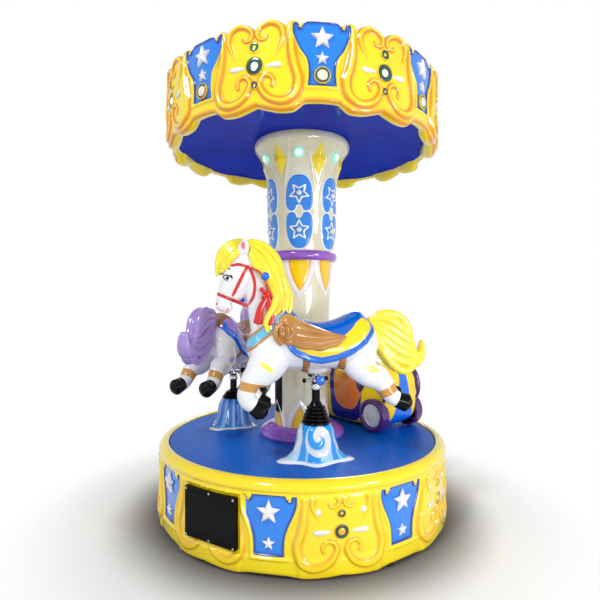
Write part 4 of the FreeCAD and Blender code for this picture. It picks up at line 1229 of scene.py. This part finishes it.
def build_horse(tag, deg, drop, pitch, hair, hair_groove_shade, brush, chest_paint, cloth):
    name = f"horse_{tag}"
    body_paint, hair_paint = horse_paint(name, hair, hair_groove_shade, brush)
    body, skin = horse_body(f"{name}_body", body_paint)
    made = [body, join(f"{name}_eyes", horse_eyes(skin))]

    def keep(part, objs, paint):
        made.append(set_material(join(f"{name}_{part}", objs), paint))
        return made[-1]

    keep("bridle", horse_bridle(skin), RED_PAINT)
    keep("girths", [wrap("girth", (-62, 0, 880), (1, 0, 0.08), 17, 3.5, skin, 200),
                    wrap("girth", (106, 0, 884), (1, 0, -0.05), 17, 3.5, skin, 200)], TAN_PAINT)
    across = (0.62, 0, -0.80)
    keep("chest_strap", [wrap("chest", (-262, 0, 936), across, 17, 4.0, skin, 170, (1, 0, 0))],
         chest_paint)
    keep("chest_edges", [wrap("edge", (-262 + k * 13.5, 0, 936 - k * 17.5), across, 5, 6, skin,
                              170, (1, 0, 0)) for k in (-1, 1)], TAN_PAINT)
    keep("hooves", horse_hooves(), BLACK_GLOSS)
    keep("mane", [moulded_hair(f"{name}_mane", horse_mane(), 3.6)], hair_paint)
    keep("tail", [moulded_hair(f"{name}_tail", horse_tail(), 3.8)], hair_paint)
    cloth_piece = keep("saddle_cloth", [saddle_cloth("cloth", skin)], cloth)
    clad = tree_of(body, cloth_piece)
    keep("saddle_flaps", [make(clad, side) for side in (-1, 1)
                          for make in (saddle_flap, saddle_scroll)], TAN_PAINT)
    keep("bows", bow(skin, -1) + bow(skin, 1), RED_PAINT)

    belly = Matrix.Translation((0, 0, 0.777))
    seat = (seat_frame(deg, drop=drop) @ belly
            @ Matrix.Rotation(math.radians(-pitch), 4, "Y") @ belly.inverted())
    for obj in made:
        fit(place(obj, seat), name, f"{name}_shell")


build_horse("a", HORSE_A_DEG, 0, 0.0, (0.97, 0.82, 0.03), (0.80, 0.47, 0.0), (0.95, 0.85, 0.05),
            enamel("chest_blue", (0.15, 0.55, 0.85)),
            cloth_paint("cloth_a", (0.97, 0.72, 0.0), (0.0, 0.14, 0.70), (0.0, 0.12, 0.62)))
build_horse("b", HORSE_B_DEG, HORSE_B_DROP, HORSE_B_PITCH, (0.42, 0.28, 0.72),
            (0.20, 0.08, 0.45), (0.55, 0.35, 0.80), enamel("chest_tan", (0.45, 0.20, 0.05)),
            cloth_paint("cloth_b", (0.34, 0.22, 0.62), (0.0, 0.14, 0.70), (0.30, 0.16, 0.05)))

# ---- column --------------------------------------------------------------------------

def inside_shape(px, py, outline):
    """Millimetres inside a closed outline; negative outside."""
    closed = np.vstack([outline, outline[:1]])
    dist, _ = near(px, py, closed)
    odd = np.zeros(px.shape, bool)
    for (ax, ay), (bx, by) in zip(closed[:-1], closed[1:]):
        cross = ((ay > py) != (by > py)) & (px < (bx - ax) * (py - ay) / (by - ay + 1e-12) + ax)
        odd ^= cross
    return np.where(odd, dist, -dist)


MEDALLION_HALF = [(0, 92), (26, 87), (48, 68), (61, 38), (68, 0), (69, -40), (64, -70), (48, -87),
                  (29, -88), (18, -78), (15, -66), (9, -60)]
UPPER = [(166, 1348), (168, 1352), (180, 1450), (184, 1560), (186, 1700), (191, 1770), (199, 1812),
         (212, 1846), (233, 1872), (249, 1888), (257, 1905), (257, 1922), (252, 1935), (240, 1941)]
LOWER = [(143.5, 404), (143, 500), (143, 600), (145, 850), (149, 1100), (158, 1296), (159, 1304)]
LAMP_DEG, LAMP_PITCH = -4.8, 60


def medallion_shape():
    half = smooth_path(MEDALLION_HALF, 60)
    notch = np.array([(0.0, -58.0)])
    return np.vstack([half, notch, (half * [-1, 1])[::-1][:-1]])


def radius_at(outline, z):
    line = smooth_path(outline, 160)
    order = np.argsort(line[:, 1])
    return np.interp(z, line[order, 1], line[order, 0])


def upper_column():
    deg = np.linspace(0, 360, 420, endpoint=False)
    zs = np.concatenate([np.arange(1350, 1736, 2.9), np.linspace(1737, 1936, 44)])
    z, d = np.meshgrid(zs, deg, indexing="ij")
    radius = radius_at(UPPER, z)
    around = np.radians(off_centre(d, LAMP_DEG, LAMP_PITCH)) * 184
    shape = medallion_shape()
    high = inside_shape(around, z - 1636, shape)
    low = inside_shape(around, -(z - 1450), shape)
    medal = np.maximum(high, low)
    star_high = inside_shape(around, z - 1636, star_outline(50, 24, math.pi))
    star_low = inside_shape(around, z - 1450, star_outline(50, 24))
    star_edge = np.minimum(np.abs(star_high), np.abs(star_low))
    gem = np.radians(off_centre(d, LAMP_DEG + LAMP_PITCH / 2, LAMP_PITCH)) * 200
    rib = np.exp(-((np.abs(gem) - 22 - (z - 1700) * 0.22) / 9) ** 2) * step(1640, 1720, z)
    radius = (radius + 4.2 * step(-5, 5, medal) + 2.2 * (star_edge < 3.4)
              + 4.0 * rib * step(1930, 1870, z))
    lip = edge_rows(deg, 0.0, ((247, 1939.5), (238, 1941)))
    return grid("column_upper", np.concatenate([polar(radius, d, z), lip]), closed=True, fields={
        "medal": padded(medal, 0, 2, -60.0), "star": padded(star_edge, 0, 2, 60.0)})


def petal_distance(around, z, root, tip, half):
    """Inside distance of a row of pointed petals."""
    share = np.clip((z - tip) / (root - tip), -0.4, 1.2)
    width = half * np.sign(share) * np.abs(np.sin(np.clip(share, -1, 1) * math.pi / 2)) ** 0.8
    return (width - np.abs(around)) * 0.82


def lower_column():
    deg = np.linspace(0, 360, 380, endpoint=False)
    zs = np.concatenate([np.arange(404, 640, 3.4), np.linspace(642, 1060, 40),
                         np.arange(1064, 1304, 3.4)])
    z, d = np.meshgrid(zs, deg, indexing="ij")
    around = np.radians(off_centre(d, LAMP_DEG, LAMP_PITCH)) * 150
    hang = petal_distance(around, z, 1310, 1140, 57)
    rise = petal_distance(around, z, 400, 545, 52)
    petal = np.maximum(hang, rise)
    radius = (radius_at(LOWER, z) + 4.5 * np.exp(-((petal + 11) / 10) ** 2)
              + 2.0 * step(0, 10, petal))
    return grid("column_lower", polar(radius, d, z), closed=True,
                fields={"petal": petal})


CREAM_RGB, CREAM_SHADE = (0.74, 0.70, 0.47), (0.82, 0.78, 0.62)
MEDAL_PAINT = layered("column_medallions", CREAM_RGB, (
    ("medal", -8.0, -6.5, (0.86, 0.90, 0.93)), ("medal", -0.8, 0.8, (0.0, 0.24, 0.84)),
    ("star", 4.4, 3.2, (0.90, 0.92, 0.95), "medal", 0.0, 2.0)), shade=CREAM_SHADE)
PETAL_PAINT = layered("column_petals", CREAM_RGB, (
    ("petal", -23.0, -21.0, (0.86, 0.86, 0.90)), ("petal", -1.0, 1.0, (0.93, 0.40, 0.0)),
    ("petal", 3.0, 16.0, (0.99, 0.66, 0.0))), shade=CREAM_SHADE)
VIOLET = enamel("violet_paint", (0.34, 0.12, 0.62), shade=(0.26, 0.08, 0.52))
WHITE_PEARL = enamel("white_pearl", (0.86, 0.86, 0.88))
TEAL_GLOW = lit("lamp_teal", (0.30, 0.70, 0.58), (0.25, 0.85, 0.62), 0.5)
WHITE_GLOW = lit("lamp_white", (1.0, 1.0, 0.98), (0.95, 1.0, 0.97), 2.0)
GEM_YELLOW = enamel("gem_yellow", (1.0, 0.80, 0.0), shade=(0.95, 0.62, 0.0), wave=0.05)

RING_PROFILE = [(160, 1302), (172, 1299), (184, 1308), (188, 1324), (184, 1340), (172, 1349),
                (162, 1347)]
FOOT_PROFILE = [(144, 436), (158, 436), (186, 428), (214, 412), (227, 394), (227, 380),
                (224, 378.5)]


def diamond(deg):
    """Faceted drop on the collar, lying on the flare of the wall."""
    t = np.linspace(-1, 1, 33)[:, None]
    s_ = np.linspace(-1, 1, 25)[None, :]
    z = 1806 + 78 * t + 0 * s_
    across = 43 * (1 - np.abs(t)) * s_
    rise = 1.0 + 15 * (1 - np.abs(t)) * (1 - np.abs(s_))
    radius = radius_at(UPPER, z) + rise
    return grid("diamond", polar(radius, deg + np.degrees(across / radius), z))


def collar_piece(name, profile, material, deg):
    piece = set_material(disc(name, profile), material)
    piece.data.transform(Matrix.Rotation(0.36, 4, "X"))
    return on_wall(piece, 214, deg, 1834)


column_top = set_material(upper_column(), MEDAL_PAINT)
column_base = set_material(lower_column(), PETAL_PAINT)
column_ring = set_material(lathe("column_ring", RING_PROFILE), VIOLET)
column_foot = set_material(lathe("column_foot", FOOT_PROFILE), VIOLET)
balls, halo, diamonds = [], [], []
for k in range(6):
    deg = LAMP_DEG + LAMP_PITCH * k
    for z, r in ((1450, 186), (1636, 191)):
        ball = set_material(disc("ball", dome(14, 1, 14, -0.4, 1.5, 12)), WHITE_PEARL)
        balls.append(on_wall(ball, r, deg, z))
    halo += [collar_piece("halo", [(27, -6), (27, 1), (24, 4.5), (19, 6), (14, 5), (11, 2)],
                          TEAL_GLOW, deg),
             collar_piece("bulb", dome(13, 2, 9, -0.2, 1.5, 10), WHITE_GLOW, deg)]
    diamonds.append(set_material(diamond(deg + LAMP_PITCH / 2), GEM_YELLOW))
for obj, slot, node in ((column_top, "cream_shell", "column_upper_shell"),
                        (column_base, "cream_shell", "column_lower_shell"),
                        (column_ring, "purple_shell", "column_mid_ring"),
                        (column_foot, "purple_shell", "column_foot_ring"),
                        (join("column_diamonds", diamonds), "yellow_gem", "column_gems"),
                        (join("column_medallion_balls", balls), "lamp_lens", "medallion_lamps"),
                        (join("column_collar_lamps", halo), "lamp_lens", "column_lamps")):
    fit(obj, "turntable", node)

# ---- pedestals, boots and brackets ---------------------------------------------------

PEDESTAL_TOES = ((math.pi + 0.25, 1.0), (-0.28, 0.8), (-1.7, 0.3), (1.5, 0.5))


def pedestal(name, folded):
    """The flared skirt round a post, with four pointed toes: swirled, or hung in folds."""
    cols, rows = 200, 70
    alpha = np.linspace(0, 2 * math.pi, cols, endpoint=False)
    share = np.linspace(0, 1, rows)
    zs = 379 + (533 - 379) * share ** 1.25
    z, a = np.meshgrid(zs, alpha, indexing="ij")
    base = np.interp(z, [378, 384, 394, 415, 445, 480, 505, 522, 530, 533],
                     [120, 111, 103, 97, 93, 88, 83, 76, 71, 66])
    toe = np.interp(z, [378, 384, 394, 412, 440, 480], [74, 56, 36, 17, 6, 0])
    for centre, share_of in PEDESTAL_TOES:
        away = (a - centre + math.pi) % (2 * math.pi) - math.pi
        base = base + toe * share_of * np.exp(-(away / 0.36) ** 2)
    if folded:
        depth = np.interp(z, [378, 430, 500, 533], [6, 5.5, 3.5, 0.5])
        wave = np.cos(11 * a + 0.6 * np.sin(2 * a))
        reach = base - 6 + depth * wave
        # for the folds the wave also sets the paint: lighter blue on the crests as painted
        # highlight, deep blue in the hollows as painted shade
        swirl_and_fold_shade = wave
    else:
        side = np.round(a / (math.pi / 2)) * (math.pi / 2)
        flat = (a - side) * 92
        up = z - 486
        rho = np.hypot(flat, up * 0.86)
        phi = np.arctan2(up, flat)
        spiral = np.sin(phi + 2 * math.pi * rho / 66.0 + 0.8)
        streak = np.abs(np.cos(2 * a + 0.45)) ** 6 * step(440, 420, z) + 0.75 * step(505, 520, z)
        outside = np.maximum(-1.0 + 1.9 * np.abs(np.sin(2 * a)) ** 8, streak)
        swirl_and_fold_shade = np.where(rho < 9, -1.0, np.where(rho < 66, spiral, outside))
        reach = base + 2.4 * swirl_and_fold_shade * step(532, 512, z) * step(380, 400, z)
    lip = turned_rings([(reach[0] - 14, 384), (reach[0] - 9, 379.5), (reach[0] - 4, 378.6)], cols)
    wall = np.stack([reach * np.cos(a), reach * np.sin(a), z], axis=-1)
    top = turned_rings(((60, 534), (40, 533.5)), cols)
    fields = {key: np.concatenate([np.repeat(value[:1], 3, 0), value, np.repeat(value[-1:], 2, 0)])
              for key, value in (("swirl_and_fold_shade", swirl_and_fold_shade), ("hem", z))}
    return grid(name, np.concatenate([lip, wall, top]) * MM, closed=True, fields=fields)


SWIRL_PAINT = layered("pedestal_swirl", (0.80, 0.84, 0.90), (
    ("swirl_and_fold_shade", -0.25, 0.15, (0.30, 0.62, 0.90)), ("swirl_and_fold_shade", 0.2, 0.45, (0.0, 0.30, 0.86)),
    ("hem", 392.0, 384.0, (0.84, 0.88, 0.93))))
# folds: deep blue with lighter blue on the fold crests, a painted highlight and shade that follow
# the folds
FOLD_PAINT = layered("pedestal_folds", (0.0, 0.20, 0.72), (
    ("swirl_and_fold_shade", 0.1, 0.95, (0.22, 0.52, 0.92)), ("hem", 388.0, 382.0, (0.84, 0.88, 0.93))))


BOOT_FOOT = 534
BOOT_TALL = 99


def boot(name, tall):
    """Glossy rubber bellows with five rounded folds and a collar at the top."""
    outline = []
    fold = tall * 0.80 / 5
    for i in range(5):
        for t in np.linspace(-0.95, 0.95, 9):
            outline.append((55 - 5.6 * i + 11 * math.cos(t * math.pi / 2),
                            BOOT_FOOT + fold * (i + 0.5 + 0.5 * t)))
    top = BOOT_FOOT + tall
    outline += [(30, BOOT_FOOT + tall * 0.84), (26, BOOT_FOOT + tall * 0.9), (22.5, top - 1),
                (20.2, top), (19.4, top - 2)]
    return grid(name, turned_rings(outline, 64) * MM, closed=True)


def mount_head(name):
    """Chrome head on the post: neck, clamp, pivot barrel, wing bolt and lock pin."""
    parts = []

    def add(obj, material):
        parts.append(set_material(obj, material))

    neck = [(23.0, 688), (24.5, 690), (24.5, 706), (22, 711), (16, 716), (14.5, 726), (14.5, 760),
            (22, 767), (30, 770)]
    add(grid("neck", turned_rings(neck, 48) * MM, closed=True), CHROME)
    add(tube("barrel", [(0, -34, 745), (0, 34, 745)], [14.5, 14.5], sides=32, count=4), CHROME)
    add(tube("pin", [(-52, 0, 728), (44, 0, 736)], [6, 6], sides=20, count=4), CHROME)
    for ends in ([(-60, 0, 727), (-48, 0, 728)], [(40, 0, 735.5), (54, 0, 737)]):
        add(tube("knob", ends, [9, 12, 9], sides=24, count=8), BLACK_GLOSS)
    add(limb([(-66, 0, 773.4, 3.2, 36), (66, 0, 773.4, 3.2, 36)], sides=40, count=6), CHROME)
    for x in (-55, 55):
        for y in (-24, 24):
            bolt = disc("bolt", [(7, 0), (7, 4), (5.5, 5.5), (2, 6)], segments=6)
            place(bolt, Matrix.Rotation(math.pi, 4, "X"))
            place(bolt, Matrix.Translation((x, y, 770)))
            add(place(bolt, Matrix.Scale(MM, 4)), BRIGHT)
    return join(name, parts)


def facing_out(obj, x, side, out, z):
    """Puts a button, drawn in mm with z out, on the given side of a piece, in metres."""
    turn_to = Matrix.Rotation(-side * math.pi / 2, 4, "X")
    obj.data.transform(Matrix.Scale(MM, 4) @ Matrix.Translation((x, side * out, z)) @ turn_to)
    return obj


def foot_bar(name):
    """Footrest bar with ribbed grips, a blue cap outside and a black one inside."""
    bar = tube("bar", [(0, -100, 745), (0, 100, 745)], [10.8, 10.8], sides=28, count=4)
    parts = [set_material(bar, CHROME)]
    for side, material in ((-1, BLUE_PLASTIC), (1, BLACK_GLOSS)):
        radii = [13 + 1.2 * (i % 2) for i in range(17)]
        line = [(0, side * (52 + 3.4 * i), 745) for i in range(17)]
        parts.append(set_material(tube("grip", line, radii, sides=28, count=17), BLACK_PLASTIC))
        cap = disc("cap", [(19, -9), (21, -6), (21, 2), (18, 6), (10, 8), (3, 8.5)], segments=40)
        parts.append(set_material(facing_out(cap, 0, side, 112, 745), material))
    return join(name, parts)


for tag, deg, drop, paint, slot in (("a", HORSE_A_DEG, 0, SWIRL_PAINT, "white_shell"),
                                    ("b", HORSE_B_DEG, HORSE_B_DROP, FOLD_PAINT, "blue_pedestal")):
    tall = BOOT_TALL - drop
    skirt = set_material(pedestal(f"pedestal_{tag}_skirt", tag == "b"), paint)
    fit(place(skirt, seat_frame(deg)), "turntable", f"pedestal_{tag}")
    bellow = set_material(boot(f"boot_{tag}", tall), BLACK_GLOSS)
    place(bellow, seat_frame(deg))
    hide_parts(f"bellows_{tag}")
    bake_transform(bellow)
    for obj, node in ((mount_head(f"mount_head_{tag}"), f"bracket_{tag}"),
                      (foot_bar(f"foot_bar_{tag}"), f"footrest_{tag}")):
        fit(place(obj, seat_frame(deg, drop=drop)), f"horse_{tag}", node)

# ---- car -----------------------------------------------------------------------------

AXLE_Z, AXLES = 470, (-250, 235)
HULL = [(-339, 50, 510, 606, 2.6), (-335, 92, 470, 655, 3.2), (-324, 119, 446, 690, 3.8),
        (-302, 132, 426, 708, 4.4), (-262, 138, 404, 728, 5.0), (-200, 140, 390, 747, 5.0),
        (-140, 140, 384, 761, 5.0), (-96, 139, 382, 768, 5.0), (-72, 139, 382, 742, 5.0),
        (-34, 139, 382, 702, 5.0), (10, 139, 382, 692, 5.0), (60, 139, 382, 691, 5.0),
        (128, 139, 382, 724, 5.0), (178, 138, 382, 788, 4.8), (222, 134, 382, 805, 4.4),
        (262, 124, 386, 786, 4.0), (288, 106, 398, 722, 3.6), (303, 74, 430, 640, 3.0)]


def car_hull():
    line = smooth_path(HULL, 120)
    t = np.linspace(0, 2 * math.pi, 96, endpoint=False)
    rings = []
    for u, w, low, top, power in line:
        c, s_ = np.cos(t), np.sin(t)
        y = w * np.sign(c) * np.abs(c) ** (2 / power)
        z = (low + top) / 2 + (top - low) / 2 * np.sign(s_) * np.abs(s_) ** (2 / power)
        rings.append(np.stack([np.full(96, u), y, z], axis=-1))
    rings = np.stack(rings)
    verts, faces = capped(rings, [rings[0].mean(0) - [3, 0, 0], rings[-1].mean(0) + [3, 0, 0]])
    return add_mesh("car_hull", verts * MM, faces)


def solid_box(x, y, z, round_by):
    verts = [(a, b, c) for a in x for b in y for c in z]
    faces = [(0, 1, 3, 2), (4, 6, 7, 5), (0, 4, 5, 1), (2, 3, 7, 6), (0, 2, 6, 4), (1, 5, 7, 3)]
    obj = add_mesh("box", np.array(verts, float) * MM, faces, smooth=False)
    bevel = obj.modifiers.new("edges", "BEVEL")
    bevel.width = round_by * MM
    bevel.segments = 4
    bevel.limit_method = "ANGLE"
    bevel.angle_limit = math.radians(35)
    bevel.harden_normals = False
    return apply_modifiers(obj)


def carve(obj, cutters):
    for cutter in cutters:
        cut = obj.modifiers.new("cut", "BOOLEAN")
        cut.operation = "DIFFERENCE"
        cut.solver = "EXACT"
        cut.object = cutter
        apply_modifiers(obj)
        bpy.data.objects.remove(cutter)
    return obj


def wheel_well(u, side):
    ends = [(u, side * 107, AXLE_Z), (u, side * 200, AXLE_Z)]
    return tube("well", ends, [98, 98], sides=64, count=2)


DOOR = [(84, 712), (70, 600), (58, 530), (34, 492), (-10, 475), (-60, 473), (-96, 486),
        (-124, 521), (-148, 575), (-160, 640), (-166, 700), (-120, 732), (-60, 720), (10, 690)]
BAND = [(118, 735), (108, 600), (98, 480), (72, 404), (-72, 404), (-128, 430), (-152, 470),
        (-150, 540), (-168, 640), (-176, 712), (-120, 750), (-60, 740), (10, 700)]
hull = carve(car_hull(), [solid_box((-85, 200), (-98, 98), (455, 900), 22)]
             + [wheel_well(u, side) for u in AXLES for side in (-1, 1)])
hull = melt(hull, 4.0, 4, 0.5)
hull.name = "car_hull"
spots = coords(hull) / MM
u_, w_, z_ = spots[:, 0], spots[:, 1], spots[:, 2]
stripe = np.interp(z_, [400, 450, 520, 590, 690, 768], [92, 84, 62, 45, 27, 16]) - np.abs(w_)
set_field(hull, "stripe", np.where(u_ < -72, stripe, -40))
for key, outline in (("door", DOOR), ("band", BAND)):
    inside = inside_shape(u_, z_, smooth_path(outline, 80))
    set_field(hull, key, np.where(np.abs(w_) > 118, inside, -60))
# the door's top and rear turn lighter yellow: a painted highlight
set_field(hull, "glow", np.clip((u_ + 40) / 120, 0, 1) * np.clip((z_ - 560) / 100, 0, 1))
set_field(hull, "well", (np.abs(w_) < 102) & (z_ < 700) & (u_ > -90) & (u_ < 204))
CAR_PAINT = layered("car_paint", (1.0, 0.74, 0.0), (
    ("stripe", -1.5, 1.5, (0.0, 0.16, 0.85)), ("band", -1.5, 1.5, (0.012, 0.014, 0.26)),
    ("door", -5.0, -2.5, (0.92, 0.36, 0.16)), ("door", -1.0, 1.5, (0.88, 0.22, 0.0)),
    # painted highlight on the door's upper rear
    ("glow", 0.1, 1.0, (1.0, 0.66, 0.0), "door", 0.0, 12.0), ("well", 0.4, 0.6, (0.02, 0.03, 0.2))),
    shade=(0.98, 0.66, 0.0), coat=0.45)
set_material(hull, CAR_PAINT)

HEART = [(0, -34), (20, -14), (36, 8), (38, 24), (28, 34), (14, 33), (3, 24), (0, 19)]
heart_half = smooth_path(HEART, 30)
heart_line = np.vstack([heart_half, (heart_half * [-1, 1])[::-1][1:-1]])
DARK_PURPLE = enamel("dark_purple", (0.035, 0.008, 0.075), shade=(0.02, 0.004, 0.05))
hull_tree = tree_of(hull)
heart_pair = join("car_hearts", [
    set_material(patch("heart", (-144, 604), heart_line, hull_tree, side, -1.5, 6.0, rings=9),
                 DARK_PURPLE) for side in (-1, 1)])

BEAD_LINE = [(-190, 741), (-232, 730), (-272, 712), (-304, 676), (-322, 628), (-326, 580),
             (-318, 548)]
beads = []
for side in (-1, 1):
    line = [(u, side * 139, z) for u, z in BEAD_LINE]
    bead = tube("bead", line, [5, 11, 15, 17, 16, 13, 7], sides=18, count=60, up=(0, 1, 0))
    beads.append(set_material(bead, PURPLE))
nose_beads = join("car_nose_beads", beads)

TYRE = [(80, 0), (86, 2), (90, 8), (90, 46), (88, 52), (83, 56), (74, 57), (67, 55), (64, 51),
        (63.5, 47)]
HUB = [(63.5, 46), (61, 47), (59.5, 50), (57, 51.5), (52, 50), (46, 49), (30, 49.5), (27, 51),
       (18, 52), (14, 50.5), (9, 52.5), (3, 53)]
HUB_GREY = enamel("hub_grey", (0.84, 0.88, 0.85), shade=(0.70, 0.75, 0.73))
wheels = []
for u in AXLES:
    for side in (-1, 1):
        for profile, material in ((smooth_path(TYRE, 6 * len(TYRE)), PURPLE), (HUB, HUB_GREY)):
            piece = set_material(disc("wheel", profile, segments=72), material)
            wheels.append(facing_out(piece, u, side, 112, AXLE_Z))
        stub = tube("stub", [(u, side * 104, AXLE_Z), (u, side * 114, AXLE_Z)], [16, 16], sides=24,
                    count=3)
        wheels.append(set_material(stub, BLACK_PLASTIC))
car_wheels = join("car_wheel_set", wheels)


def bench():
    """Moulded bench with two hollows, rounded front and back."""
    profile = [(72, 462), (68, 520), (70, 548), (80, 559), (100, 560), (135, 559), (150, 566),
               (158, 600), (166, 680), (173, 736), (184, 750), (194, 744), (196, 700), (197, 600),
               (197, 470)]
    line = smooth_path(profile, 110)
    ys = np.linspace(-94, 94, 64)
    rows = []
    for u, z in line:
        row = []
        for y in ys:
            edge = min(1.0, (94 - abs(y)) / 9)
            scoop = math.exp(-((abs(y) - 46) / 26) ** 2)
            on_seat = step(74, 90, u) * step(562, 556, z) if z < 566 else 0
            on_back = step(572, 610, z) * step(745, 700, z) * (u < 176)
            sunk = 8 * scoop * on_seat + 5 * (1 - edge) ** 2 * (z > 540)
            row.append((u + 7 * scoop * on_back, y, z - sunk))
        rows.append(row)
    obj = grid("car_bench", np.array(rows) * MM)
    thick = obj.modifiers.new("thick", "SOLIDIFY")
    thick.thickness = 4 * MM
    thick.offset = 1
    return apply_modifiers(obj)


SEAT_PAINT = enamel("seat_navy", (0.010, 0.02, 0.12), shade=(0.006, 0.012, 0.08), wave=0.5)
bench_obj = set_material(bench(), SEAT_PAINT)
for obj, node, key in ((hull, "car_shell", "car_yellow"), (heart_pair, "car_shell", "purple_shell"),
                       (nose_beads, "car_trim", "purple_shell"),
                       (car_wheels, "car_wheels", "purple_shell"),
                       (bench_obj, "car_seat", "navy_vinyl")):
    fit(place(obj, seat_frame(CAR_DEG, CAR_SEAT_R)), "turntable", node)


def tread_plate():
    """Blue rubber-coated deck with a fine raised wave pattern."""
    material, tree, shader = new_material("deck_tread")
    paint = mixed(tree, remap(tree, noise(tree, 3.0), 0.3, 0.7), rgb(0.0, 0.13, 0.62),
                  rgb(0.0, 0.10, 0.52))
    tree.links.new(paint, shader.inputs["Base Color"])
    shader.inputs["Roughness"].default_value = 0.35
    shader.inputs["Specular IOR Level"].default_value = 0.08
    shader.inputs["Coat Weight"].default_value = 0.06
    shader.inputs["Coat Roughness"].default_value = 0.12
    where = tree.nodes.new("ShaderNodeTexCoord")
    waves = tree.nodes.new("ShaderNodeTexVoronoi")
    waves.feature = "SMOOTH_F1"
    waves.inputs["Scale"].default_value = 70.0
    waves.inputs["Smoothness"].default_value = 0.6
    tree.links.new(where.outputs["Object"], waves.inputs["Vector"])
    bumped(tree, shader, waves.outputs["Distance"], 0.6, 0.004)
    return material


for part_slot in NODES["deck_plate"].material_slots:
    part_slot.material = tread_plate()
for node in ("post_a", "post_b"):
    for part_slot in NODES[node].material_slots:
        part_slot.material = BLACK_GLOSS

# ---- floor, lights and camera --------------------------------------------------------

def fading_floor():
    """A painted shade around the base, white outside it, and clear further out: no horizon."""
    material, tree, shader = new_material("floor_white")
    shader.inputs["Roughness"].default_value = 0.6
    shader.inputs["Specular IOR Level"].default_value = 0.1
    where = tree.nodes.new("ShaderNodeTexCoord")
    length = tree.nodes.new("ShaderNodeVectorMath")
    length.operation = "LENGTH"
    tree.links.new(where.outputs["Object"], length.inputs[0])
    shade = remap(tree, length.outputs["Value"], 0.72, 1.05)
    paint = mixed(tree, shade, rgb(0.16, 0.16, 0.17), rgb(0.9, 0.9, 0.9))
    tree.links.new(paint, shader.inputs["Base Color"])
    solid = remap(tree, length.outputs["Value"], 0.95, 1.5, 1.0, 0.0)
    tree.links.new(solid, shader.inputs["Alpha"])
    return material


floor_obj = lathe("floor", [(1, 0), (900, 0), (1800, 0), (3000, 0)], straight=True)
set_material(floor_obj, fading_floor())


def area_light(name, where, target, size, watts):
    data = bpy.data.lights.new(name, "AREA")
    data.shape = "RECTANGLE"
    data.size, data.size_y = size
    data.energy = watts
    obj = bpy.data.objects.new(name, data)
    bpy.context.scene.collection.objects.link(obj)
    obj.location = where
    obj.rotation_euler = (Vector(target) - Vector(where)).to_track_quat("-Z", "Y").to_euler()


area_light("key", (-2.1, -3.2, 4.9), (0, 0, 1.1), (0.7, 0.9), 100)
area_light("fill", (3.2, -3.0, 2.0), (0, 0, 1.0), (0.8, 1.4), 48)
area_light("low", (1.6, -3.0, 0.7), (0.2, 0, 1.2), (1.2, 0.6), 22)
area_light("back", (0.5, 3.6, 3.0), (0, 0, 1.2), (2.0, 1.4), 40)

world = bpy.data.worlds.new("studio")
bpy.context.scene.world = world
world.use_nodes = True
sky = world.node_tree
direction = sky.nodes.new("ShaderNodeTexCoord")
heights = sky.nodes.new("ShaderNodeSeparateXYZ")
sky.links.new(direction.outputs["Generated"], heights.inputs["Vector"])
above = remap(sky, heights.outputs["Z"], 0.1, 0.6, 0.8, 0.5)
below = remap(sky, heights.outputs["Z"], -0.6, -0.1, 0.8, 1.0)
dim = combined(sky, "MULTIPLY", above, below)
rays = sky.nodes.new("ShaderNodeLightPath")
seen = combined(sky, "MAXIMUM", dim, rays.outputs["Is Camera Ray"])
sky.links.new(seen, sky.nodes["Background"].inputs["Strength"])
sky.nodes["Background"].inputs["Color"].default_value = rgb(1.0, 1.0, 1.0)

camera_data = bpy.data.cameras.new("camera")
camera_data.lens = 28.5
camera_data.sensor_width = 36.0
camera_data.shift_y = 1 / 600
camera = bpy.data.objects.new("camera", camera_data)
camera.location = (-0.011, -2.585, 1.089)
camera.rotation_euler = (math.pi / 2, 0, 0)
bpy.context.scene.collection.objects.link(camera)
bpy.context.scene.camera = camera
bpy.context.scene.view_settings.view_transform = "Standard"
